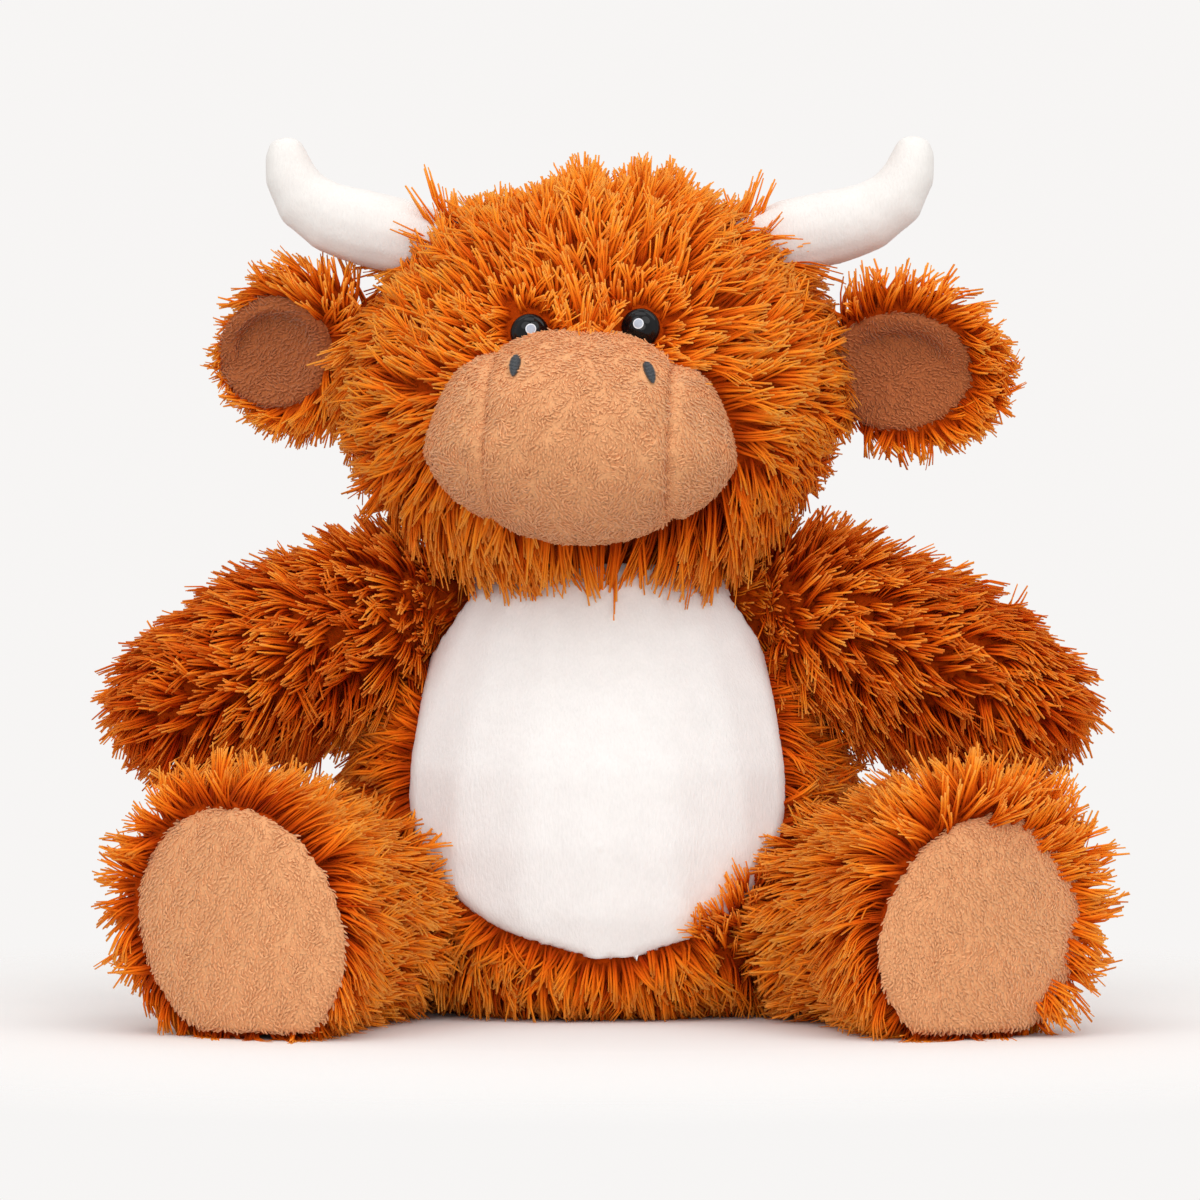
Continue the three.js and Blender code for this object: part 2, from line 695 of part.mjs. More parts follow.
function legForm(name, side, sole_height) {
  const root = mirrored(hip, side);
  const sole_spot = at(side * (hip.x + leg_reaches[name]), hip.y - leg_forward, sole_height);
  const facing = at(side * Math.sin(turn), -Math.cos(turn), 0);
  const heel = sole_spot.clone().addScaledVector(facing, -foot_height / 2);
  const toe = sole_spot.clone().addScaledVector(facing, foot_height / 2);
  const long_way = at(side * Math.sin(tilt), 0, Math.cos(tilt));
  const limb = softForm({
    path: [root, root.clone().lerp(heel, 0.5), heel, toe],
    across: long_way,
    width: foot_height,
    depth: foot_width,
    girth_shares: leg_girth_shares,
    bluntness: leg_bluntness,
    root_radius: hip_radius,
    form_sides: limb_sides,
    form_rings: limb_rings,
  });
  const lifting = sole_spot.clone().sub(root).setZ(0).normalize().cross(up);
  const leg = { limb, root, root_radius: hip_radius, lifting, angle: leg_lift };
  return { leg, sole_spot, facing, long_way, cut: beyond(sole_spot, facing) };
}

// The sole's height that makes the foot's lowest side reach the floor, less the flat that is cut there
function settledHeight(name, side) {
  let sole_height = foot_height / 2;
  for (let i = 0; i < settling_rounds; i++) {
    const { leg, cut } = legForm(name, side, sole_height);
    sole_height -= solid(leg.limb.shape(0)).subtract(cut).boundingBox().min[2] + flat_cut;
  }
  return sole_height;
}

for (const [name, side] of sides) {
  const { leg, sole_spot, facing, long_way, cut } = legForm(name, side, settledHeight(name, side));
  const skin = limbBody(leg, 0).subtract(floor).subtract(limbBody(leg, fur_wall)).subtract(cut);
  legGroup.add(mesh(`${name}_leg`, skin.subtract(turningHole(leg.limb, leg.root, hip_radius)), orange_fur));
  const filling = limbBody(leg, fur_wall + seam_gap).subtract(cut);
  const bag_back = sole_spot.clone().addScaledVector(facing, -foot_pellet_bag_depth);
  const bag_front = bag_back.clone().addScaledVector(facing, seam_gap);
  legGroup.add(mesh(`${name}_leg_stuffing`, filling.subtract(beyond(bag_back, facing)), fibre_filling));
  legGroup.add(mesh(`${name}_foot_pellet_bag`, filling.intersect(beyond(bag_front, facing)), pellet_bag));
  const deep_way = facing.clone().cross(long_way).normalize();
  const wide_way = deep_way.clone().cross(facing).normalize();
  const basis = new THREE.Matrix4().makeBasis(deep_way, facing, wide_way);
  const seat = sole_spot.clone().addScaledVector(facing, seam_gap).addScaledVector(up, -sole_drop);
  const pad = solid(
    new THREE.SphereGeometry(1, socket_sides, limb_rings)
      .scale(foot_width / 2 - sole_margin, sole_bulge, foot_height / 2 - sole_margin)
      .applyMatrix4(basis)
      .translate(...seat.toArray()),
  );
  const raised_floor = beyond(at(0, 0, seam_gap), at(0, 0, -1));
  legGroup.add(mesh(`${name}_sole`, pad.intersect(beyond(seat, facing)).subtract(raised_floor), tan_minky));
}

// Tail: it hangs down the back and ends in a tuft
const tailGroup = new THREE.Group();
{
  const { spot, normal } = torso.seat(tail_seat_shares);
  const hanging_line = spot.y + tuft_diameter / 2 + tuft_clearance;
  const level = at(0, hanging_line, spot.z);
  const out = tail_root.clone().addScaledVector(normal, tail_root_radius).lerp(level, 0.5);
  const tuft_bottom = at(0, hanging_line, tuft_clearance);
  const tuft_top = tuft_bottom.clone().addScaledVector(up, tuft_length);
  const into_tuft = tuft_top.clone().addScaledVector(up, -tail_diameter);
  const hanging = softForm({
    path: [tail_root, out, tuft_top, into_tuft],
    across: at(1, 0, 0),
    width: tail_diameter,
    depth: tail_diameter,
    girth_shares: tail_girth_shares,
    bluntness: tail_bluntness,
    root_radius: tail_root_radius,
    form_sides: small_sides,
    form_rings: limb_rings,
  });
  const tuft = softForm({
    path: [tuft_bottom, tuft_top],
    across: at(1, 0, 0),
    width: tuft_diameter,
    depth: tuft_diameter,
    girth_shares: tuft_girth_shares,
    bluntness: tuft_bluntness,
    form_sides: small_sides,
    form_rings: limb_rings,
  });
  tailGroup.add(mesh("tail", solid(hanging.shape(0)).subtract(solid(tuft.shape(-seam_gap))), orange_fur));
  tailGroup.add(mesh("tail_tuft", solid(tuft.shape(0)), orange_fur));
}

const cow = new THREE.Group();
cow.add(torsoGroup, headGroup, armGroup, legGroup, tailGroup);
export default cow;
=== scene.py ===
"""A seated long-haired plush cow: its cloth forms, fur, short pile, eyes, stitches and studio, in metres.

Right and left are the cow's own: it faces -Y, and its right side is at -X.
"""

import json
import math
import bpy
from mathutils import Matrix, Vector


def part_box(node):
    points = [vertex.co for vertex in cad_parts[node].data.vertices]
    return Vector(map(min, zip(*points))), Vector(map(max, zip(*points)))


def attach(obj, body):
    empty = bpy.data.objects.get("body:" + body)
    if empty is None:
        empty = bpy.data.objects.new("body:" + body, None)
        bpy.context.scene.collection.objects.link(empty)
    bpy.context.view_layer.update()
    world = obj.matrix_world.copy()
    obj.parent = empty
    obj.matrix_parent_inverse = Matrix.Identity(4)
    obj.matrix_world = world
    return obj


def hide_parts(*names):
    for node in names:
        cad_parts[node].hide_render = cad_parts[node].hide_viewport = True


bl_info = {
    "name": "Plush Cow",
    "version": (1, 0, 0),
    "blender": (4, 5, 0),
    "location": "View3D > Sidebar > Plush Cow",
    "description": "Sews a long-haired plush cow over its solids",
    "category": "Object",
}

import bmesh
import bpy
import numpy as np
from mathutils import Matrix, Vector
from mathutils.bvhtree import BVHTree

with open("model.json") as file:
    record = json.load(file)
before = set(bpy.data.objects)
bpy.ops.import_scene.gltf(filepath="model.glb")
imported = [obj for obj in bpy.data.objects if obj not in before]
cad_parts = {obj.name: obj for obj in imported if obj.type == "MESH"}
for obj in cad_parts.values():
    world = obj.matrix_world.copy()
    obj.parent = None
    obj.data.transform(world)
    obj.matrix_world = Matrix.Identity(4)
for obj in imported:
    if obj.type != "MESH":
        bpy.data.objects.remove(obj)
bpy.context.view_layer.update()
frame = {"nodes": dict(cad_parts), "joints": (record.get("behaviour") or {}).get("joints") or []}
MM = 0.001
FIBRE_MAP = "OFBake"
SIDES = (("right", -1), ("left", 1))
JOINTS = {joint["name"]: Vector(joint["pos_m"]) for joint in frame["joints"]}
NECK = JOINTS["head_turn"]
FLOOR_REST = 1.2 * MM  # fibres that would pass below this are pressed flat
PIECE_LOCKS = 1650  # locks of fur in one piece, at most
SOLE_LIFT = 2.6 * MM  # how high the soles end above the floor, in their fringe of fur
PAINTED_HIGHLIGHT_REACH = 1.75 * MM  # how far the painted highlight on an eye reaches
EYE_SHIFT = (1.1, 0, -1.5)  # from the right eye's solid to where the eye is seen, in millimetres
EYE_ROOTS = 4.6 * MM  # no lock is rooted nearer to an eye
EYE_PATHS = 5.4 * MM  # no lock is combed nearer past an eye
EYE_VIEW = 5.6 * MM  # no fibre is seen nearer in front of an eye
EYE_RING = 12 * MM  # up to here from an eye, the fur is twice as dense
MUZZLE_TURN = math.radians(-4.5)  # the muzzle and the eyes look a little to one side
SOLE_TURN = math.radians(24)  # how far the soles look outwards
SOLE_SHIFT = (4.2, -0.6, 2.0)  # of the right sole's upper edge from its solid, in millimetres
SOLE_AHEAD = (0.5, 1.5, 3, 4.5, 6, 8, 10)  # no fur is rooted this far behind a sole, in millimetres
ARM_BACK = 8 * MM  # how far the arms' roots are drawn back from the belly
PANEL_RIM = 1.2 * MM  # how far a raised panel goes on under the fur


# Sizes and colours


def length(label, text, value):
    return bpy.props.FloatProperty(name=label, description=text, default=value, unit="LENGTH")


def colour(label, text, value):
    return bpy.props.FloatVectorProperty(
        name=label, description=text, default=value, subtype="COLOR", size=3
    )


class PileSettings(bpy.types.PropertyGroup):
    """Sizes of the long fur and of the short pile."""

    fur_length: length("Fur length", "Length of a fibre of the long fur", 17 * MM)
    lock_spacing: length("Lock spacing", "Distance between two locks of fur", 2.7 * MM)
    lock_radius: length("Lock radius", "Half the width of a lock at its root", 1.8 * MM)
    fibre_radius: length("Fibre radius", "Half the width of one fibre", 0.55 * MM)
    fibres: bpy.props.IntProperty(name="Fibres", description="Fibres in a lock of fur", default=6, min=1)
    minky_length: length("Minky length", "Length of the tan fabric's pile", 2.4 * MM)
    minky_spacing: length("Minky spacing", "Distance between two wisps of the tan pile", 1.0 * MM)


class ColourSettings(bpy.types.PropertyGroup):
    """Colours of the fabrics and trims."""

    # Along a fibre, the root colour is darker than the middle as painted shade deep in the fur, and the cut
    # end is paler as painted highlight.
    fur_root: colour("Fur root", "Colour deep in the long fur", (0.5, 0.055, 0.001))
    fur_middle: colour("Fur middle", "Colour halfway along a fibre", (0.86, 0.145, 0.004))
    fur_tip: colour("Fur tip", "Colour of the outer third of a fibre", (0.96, 0.26, 0.015))
    fur_end: colour("Fur end", "Colour of a fibre's cut end", (1.0, 0.37, 0.06))
    minky: colour("Minky", "Colour of the tan fabric", (0.9, 0.44, 0.205))
    # The linings are the tan fabric, darkened and reddened as painted shade in the ears' cups.
    lining: colour("Lining", "Colour of the ears' linings", (0.5, 0.15, 0.05))
    white: colour("White plush", "Colour of the belly", (0.87, 0.855, 0.84))
    # The horns' plush is the belly's white, darkened as painted shade.
    horn: colour("Horn plush", "Colour of the horns", (0.83, 0.8, 0.77))
    thread: colour("Thread", "Colour of the nostrils' stitches", (0.035, 0.042, 0.05))


class StudioSettings(bpy.types.PropertyGroup):
    """Camera and backdrop."""

    camera_height: length("Camera height", "Height of the camera above the floor", 0.131)
    camera_distance: length("Camera distance", "Distance of the camera ahead of the seat", 1.605)
    lens: bpy.props.FloatProperty(
        name="Lens", description="Focal length on a sensor 36 mm wide", default=150, unit="CAMERA"
    )
    backdrop: colour("Backdrop", "Colour of the paper behind", (0.93, 0.915, 0.905))


class PlushCowSettings(bpy.types.PropertyGroup):
    """All that a user would change on the cow."""

    pile: bpy.props.PointerProperty(type=PileSettings)
    colours: bpy.props.PointerProperty(type=ColourSettings)
    studio: bpy.props.PointerProperty(type=StudioSettings)


# Materials


class Reading:
    """What a socket gives, with arithmetic that adds Math nodes."""

    def __init__(self, finish, socket):
        self.finish = finish
        self.socket = socket

    def worked(self, operation, other):
        return self.finish.node("ShaderNodeMath", {"operation": operation}, {0: self, 1: other})

    def __add__(self, other):
        return self.worked("ADD", other)

    def __mul__(self, other):
        return self.worked("MULTIPLY", other)

    __radd__ = __add__
    __rmul__ = __mul__


class Finish:
    """A material in the making."""

    def __init__(self, name, **constants):
        self.material = bpy.data.materials.new(name)
        self.material.use_nodes = True
        self.tree = self.material.node_tree
        self.tree.nodes.clear()
        self.surface = self.tree.nodes.new("ShaderNodeBsdfPrincipled")
        self.outlet = self.tree.nodes.new("ShaderNodeOutputMaterial")
        self.tree.links.new(self.surface.outputs[0], self.outlet.inputs["Surface"])
        self.set(**constants)

    def set(self, **values):
        """The finish's material, with values given to the sockets of its surface."""
        self.give(self.surface, {key.replace("_", " "): value for key, value in values.items()})
        return self.material

    def give(self, node, values):
        for key, value in values.items():
            socket = node.inputs[key]
            if isinstance(value, Reading):
                self.tree.links.new(value.socket, socket)
            elif hasattr(value, "__len__") and socket.type == "RGBA":
                socket.default_value = (*value[:3], 1)
            else:
                socket.default_value = value

    def node(self, kind, settings=None, values=None, outlet=0):
        """A node of that kind, its settings set first and then its sockets. Gives one of its outputs."""
        made = self.tree.nodes.new(kind)
        for key, value in (settings or {}).items():
            setattr(made, key, value)
        self.give(made, values or {})
        return Reading(self, made.outputs[outlet])

    def ramp(self, reading, stops):
        made = self.node("ShaderNodeValToRGB", {}, {"Fac": reading})
        marks = made.socket.node.color_ramp.elements
        for _ in stops[2:]:
            marks.new(0.5)
        for mark, (place, colour) in zip(marks, stops):
            mark.position = place
            mark.color = (*colour[:3], 1)
        return made

    def multiplied(self, first, second):
        settings = {"data_type": "RGBA", "blend_type": "MULTIPLY"}
        return self.node("ShaderNodeMix", settings, {0: 1, 6: first, 7: second}, outlet=2)

    def place(self):
        return self.node("ShaderNodeTexCoord", outlet=3)

    def noise(self, scale, detail=2, roughness=0.5, where=None):
        values = {"Vector": where or self.place(), "Scale": scale, "Detail": detail, "Roughness": roughness}
        return self.node("ShaderNodeTexNoise", {}, values)

    def stretched(self, scale):
        return self.node("ShaderNodeMapping", {}, {"Vector": self.place(), "Scale": scale})

    def bumped(self, height, distance, strength=1):
        values = {"Height": height, "Distance": distance, "Strength": strength}
        return self.node("ShaderNodeBump", {}, values)

    def grained(self, grain, dark, light, height):
        """The material in two colours over a grain that stands up by a height."""
        shades = self.ramp(grain, [(0.3, dark), (0.7, light)])
        return self.set(Base_Color=shades, Normal=self.bumped(grain, height))


def shaded(colour, by):
    return tuple(min(1, part * by) for part in colour)


def fibre_finish(name, along, tones, **constants):
    """Fibres whose colour changes from root to tip, each in a tone of its own."""
    finish = Finish(name, **constants)
    place = finish.node("ShaderNodeUVMap", {"uv_map": FIBRE_MAP})
    across = finish.node("ShaderNodeSeparateXYZ", {}, {0: place})
    up = Reading(finish, across.socket.node.outputs[1])
    return finish.set(Base_Color=finish.multiplied(finish.ramp(up, along), finish.ramp(across, tones)))


def fur_finish(name, root, middle, tip, end):
    """Long fur: red-orange and darker towards the root as painted shade, light orange outwards, with pale
    cut ends as painted highlight.
    """
    # Painted shade at the root, painted highlight at the cut end.
    along = [(0, shaded(root, 0.7)), (0.25, root), (0.5, middle), (0.8, tip), (0.97, end)]
    tones = [(0, (0.68, 0.34, 0.2)), (0.5, (1, 1, 1)), (1, (1, 1.25, 1.5))]
    return fibre_finish(name, along, tones, Roughness=0.6, Specular_IOR_Level=0.05)


def minky_finish(name, tan):
    """The wisps of the tan pile, darker at their roots as painted shade."""
    along = [(0, shaded(tan, 0.48)), (0.45, shaded(tan, 0.95)), (1, shaded(tan, 1.12))]
    tones = [(0, (0.86, 0.84, 0.82)), (1, (1.08, 1.09, 1.1))]
    constants = {"Roughness": 0.75, "Sheen_Weight": 0.25, "Sheen_Roughness": 0.4}
    tint = (1, 0.85, 0.7)
    return fibre_finish(name, along, tones, Specular_IOR_Level=0.2, Sheen_Tint=tint, **constants)


def ground_finish(name, root):
    """The woven ground that the fur stands in, darker than the fur's root as painted shade under the locks.
    """
    finish = Finish(name, Roughness=0.95, Specular_IOR_Level=0.05)
    return finish.grained(finish.noise(900, 3), shaded(root, 0.6), shaded(root, 0.9), 0.4 * MM)


def minky_ground_finish(name, tan):
    """The knitted ground that the tan pile stands in."""
    finish = Finish(name, Roughness=0.95, Specular_IOR_Level=0.1)
    return finish.grained(finish.noise(1400, 2), shaded(tan, 0.75), shaded(tan, 0.95), 0.3 * MM)


def white_finish(name, white):
    """Short white plush: fine directional pile with soft clumps."""
    finish = Finish(name, Roughness=0.9, Sheen_Weight=0.15, Sheen_Roughness=0.5)
    fine = finish.noise(1, 3, 0.6, finish.stretched((1500, 1500, 420)))
    clumps = finish.noise(140, 3, 0.55)
    pile = fine * 0.7 + clumps * 0.5
    return finish.set(
        Base_Color=finish.ramp(pile, [(0.3, shaded(white, 0.93)), (0.75, shaded(white, 1.02))]),
        Normal=finish.bumped(pile, 0.45 * MM, 0.7),
    )


def thread_finish(name, thread):
    """Twisted embroidery thread."""
    finish = Finish(name, Roughness=0.55, Sheen_Weight=0.2)
    twist = finish.noise(1, 2, 0.5, finish.stretched((2500, 2500, 900)))
    return finish.grained(twist, shaded(thread, 0.7), shaded(thread, 1.6), 0.1 * MM)


def eye_finish(name, spot):
    """Glossy black plastic with a painted highlight: a pale round spot of light, given by its middle."""
    finish = Finish(name, Coat_Weight=0.15, Coat_Roughness=0.04, Specular_IOR_Level=0.2)
    away = finish.node("ShaderNodeVectorMath", {"operation": "DISTANCE"}, {0: finish.place(), 1: spot}, 1)
    haze = finish.noise(600, 4)
    # The grey middle and its pale rim are the painted highlight; the rest is the eye's own black.
    black, highlight_grey, pale = (0.004, 0.004, 0.005), (0.42, 0.47, 0.56), (0.8, 0.83, 0.88)
    stops = [(0, highlight_grey), (0.75, highlight_grey), (0.8, pale), (0.92, pale), (0.97, black), (1, black)]
    return finish.set(Base_Color=finish.ramp(away * (1 / PAINTED_HIGHLIGHT_REACH), stops), Roughness=haze * 0.06 + 0.06)


def washer_finish(name):
    """Milky moulded plastic."""
    finish = Finish(name)
    grain = finish.noise(1200, 2)
    finish.set(Roughness=grain * 0.15 + 0.4)
    return finish.grained(grain, (0.76, 0.74, 0.69), (0.84, 0.82, 0.77), 0.05 * MM)


def filling_finish(name):
    """Loose white polyester fibre."""
    finish = Finish(name, Roughness=1)
    return finish.grained(finish.noise(260, 6, 0.75), (0.72, 0.72, 0.7), (0.88, 0.88, 0.86), 1.5 * MM)


def pellet_finish(name):
    """A woven bag over plastic pellets."""
    finish = Finish(name, Roughness=0.95)
    lumps = finish.node("ShaderNodeTexVoronoi", {}, {"Vector": finish.place(), "Scale": 240})
    weave = finish.noise(1800, 1)
    return finish.set(
        Base_Color=finish.ramp(weave, [(0.3, (0.5, 0.48, 0.42)), (0.7, (0.68, 0.66, 0.6))]),
        Normal=finish.bumped(lumps * -1 + weave * 0.1, 1 * MM),
    )


def finish_named(name, maker, *colours):
    """The material of that name, made on its first use from the named colours."""
    chosen = bpy.context.scene.plush_cow.colours
    return bpy.data.materials.get(name) or maker(name, *(tuple(getattr(chosen, key)) for key in colours))


# The dark ground cloth, its darkness painted shade under the fur.
def fur_ground():
    return finish_named("fur_ground", ground_finish, "fur_root")


def loose_fibre():
    return finish_named("loose_fibre", filling_finish)


# Cloth forms


def held(value):
    return min(1, max(0, value))


def put(name, mesh, material):
    """An object at the origin for a mesh that is already in place."""
    made = bpy.data.objects.new(name, mesh)
    bpy.context.scene.collection.objects.link(made)
    mesh.name = name
    mesh.materials.clear()
    mesh.materials.append(material)
    mesh.polygons.foreach_set("use_smooth", [True] * len(mesh.polygons))
    return made


def copied(*nodes):
    """Merged copies of solids in one bmesh."""
    shape = bmesh.new()
    for node in nodes:
        shape.from_mesh(frame["nodes"][node].data)
    bmesh.ops.remove_doubles(shape, verts=shape.verts, dist=0.002 * MM)
    return shape


def largest_body(shape):
    """Only the largest of a bmesh's bodies is left: a remesh leaves bubbles in narrow gaps."""
    shape.verts.ensure_lookup_table()
    unseen = set(shape.verts)
    bodies = []
    while unseen:
        body, edge = set(), [next(iter(unseen))]
        while edge:
            vert = edge.pop()
            if vert in body:
                continue
            body.add(vert)
            edge.extend(link.other_vert(vert) for link in vert.link_edges)
        unseen -= body
        bodies.append(body)
    keep = max(bodies, key=len)
    bmesh.ops.delete(shape, geom=[v for v in shape.verts if v not in keep], context="VERTS")


def remeshed(shape, voxel):
    """The bmesh with even faces of about one voxel."""
    rough = bpy.data.meshes.new("rough")
    shape.to_mesh(rough)
    shape.free()
    holder = bpy.data.objects.new("rough", rough)
    bpy.context.scene.collection.objects.link(holder)
    even = holder.modifiers.new("even", "REMESH")
    even.mode = "VOXEL"
    even.voxel_size = voxel
    depsgraph = bpy.context.evaluated_depsgraph_get()
    made = bmesh.new()
    made.from_object(holder, depsgraph)
    bpy.data.objects.remove(holder)
    bpy.data.meshes.remove(rough)
    largest_body(made)
    return made


def relaxed(shape, rounds):
    """Facets smoothed away, with a step back after each step so that the form doesn't shrink."""
    for _ in range(rounds):
        for factor in (0.5, -0.52):
            bmesh.ops.smooth_vert(
                shape, verts=shape.verts, factor=factor, use_axis_x=True, use_axis_y=True, use_axis_z=True
            )


def swollen(shape, height):
    """Each vertex moved out along its normal."""
    shape.normal_update()
    for vert in shape.verts:
        vert.co += vert.normal * height


def plump(name, nodes, voxel, rounds, swell, material):
    """A stuffed cloth form over solids that make it up. Nothing of it is below the floor."""
    shape = remeshed(copied(*nodes), voxel)
    relaxed(shape, rounds)
    swollen(shape, swell)
    for vert in shape.verts:
        vert.co.z = max(vert.co.z, 0)
    return sewn(name, shape, material)


def sewn(name, shape, material):
    """An object from a finished bmesh."""
    bmesh.ops.recalc_face_normals(shape, faces=shape.faces)
    mesh = bpy.data.meshes.new(name)
    shape.to_mesh(mesh)
    shape.free()
    return put(name, mesh, material)


def searched(obj):
    """A search tree over an object's faces."""
    shape = bmesh_of(obj)
    tree = BVHTree.FromBMesh(shape)
    shape.free()
    return tree


def bmesh_of(obj):
    """A bmesh of an object's mesh."""
    shape = bmesh.new()
    shape.from_mesh(obj.data)
    return shape


def hull(*nodes):
    """The convex hull round solids."""
    return hulled(copied(*nodes))


def hulled(shape):
    """The convex hull round a bmesh, as a test for points that lie in it by more than a depth."""
    found = bmesh.ops.convex_hull(shape, input=shape.verts)
    faces = [item for item in found["geom"] if isinstance(item, bmesh.types.BMFace)]
    bmesh.ops.recalc_face_normals(shape, faces=faces)
    centre = np.mean([np.array(face.calc_center_median()) for face in faces], axis=0)
    spots = np.array([face.calc_center_median() for face in faces])
    normals = np.array([face.normal for face in faces])
    flip = np.sign(((spots - centre) * normals).sum(1))
    normals = normals * flip[:, None]
    offsets = (spots * normals).sum(1)
    shape.free()
    return lambda points, depth: ((points @ normals.T - offsets).max(1) < -depth)


# Pile


def fibre(cuts, tip):
    """A three-sided fibre, one unit long and one in radius, standing on the origin with a blunt tip."""
    shape = bmesh.new()
    bmesh.ops.create_cone(shape, cap_ends=True, segments=3, radius1=1, radius2=tip, depth=1)
    bmesh.ops.translate(shape, verts=shape.verts, vec=(0, 0, 0.5))
    root_cap = [face for face in shape.faces if face.calc_center_median().z < 0.1]
    bmesh.ops.delete(shape, geom=root_cap, context="FACES_ONLY")
    uprights = [edge for edge in shape.edges if abs(edge.verts[0].co.z - edge.verts[1].co.z) > 0.5]
    bmesh.ops.subdivide_edges(shape, edges=uprights, cuts=cuts)
    bmesh.ops.triangulate(shape, faces=shape.faces)
    bmesh.ops.recalc_face_normals(shape, faces=shape.faces)
    shape.verts.index_update()
    points = np.array([vert.co for vert in shape.verts])
    corners = np.array([[vert.index for vert in face.verts] for face in shape.faces])
    shape.free()
    return points, corners


def read(items, key, kind=float):
    """A property of three values of all of a mesh's items, as an array."""
    values = np.zeros(len(items) * 3, kind)
    items.foreach_get(key, values)
    return values.reshape(-1, 3)


def scattered(obj, spacing, seed):
    """Spots spread evenly at random over an object's faces, with the surface's normals there."""
    rng = np.random.default_rng(seed)
    mesh = obj.data
    mesh.calc_loop_triangles()
    place, normal = read(mesh.vertices, "co"), read(mesh.vertices, "normal")
    corners = read(mesh.loop_triangles, "vertices", int)
    a, b, c = (place[corners[:, i]] for i in range(3))
    areas = np.linalg.norm(np.cross(b - a, c - a), axis=1) / 2
    tries = int(5 * areas.sum() / spacing**2)
    face = rng.choice(len(corners), tries, p=areas / areas.sum())
    first, second = rng.random(tries), rng.random(tries)
    over = first + second > 1
    first[over], second[over] = 1 - first[over], 1 - second[over]
    shares = np.stack([1 - first - second, first, second], 1)[:, :, None]
    spots = (place[corners[face]] * shares).sum(1)
    normals = (normal[corners[face]] * shares).sum(1)
    normals /= np.linalg.norm(normals, axis=1)[:, None]
    steps = [(x, y, z) for x in (-1, 0, 1) for y in (-1, 0, 1) for z in (-1, 0, 1)]
    cells = {}
    kept = []
    for i, (x, y, z) in enumerate(np.floor(spots / spacing).astype(int).tolist()):
        spot = spots[i]
        near = (j for dx, dy, dz in steps for j in cells.get((x + dx, y + dy, z + dz), ()))
        if all(((spot - spots[j]) ** 2).sum() > spacing * spacing for j in near):
            cells.setdefault((x, y, z), []).append(i)
            kept.append(i)
    return spots[kept], normals[kept]


def unit(vectors):
    return vectors / np.maximum(np.linalg.norm(vectors, axis=1), 1e-9)[:, None]


def swirl(spots, seed, wave=0.045):
    """A slowly changing angle over space, from -1 to 1."""
    rng = np.random.default_rng(seed)
    total = np.zeros(len(spots))
    for _ in range(4):
        way = rng.normal(size=3)
        way *= 2 * math.pi / wave / np.linalg.norm(way)
        total += np.sin(spots @ way + rng.random() * 2 * math.pi)
    return total / 2.4


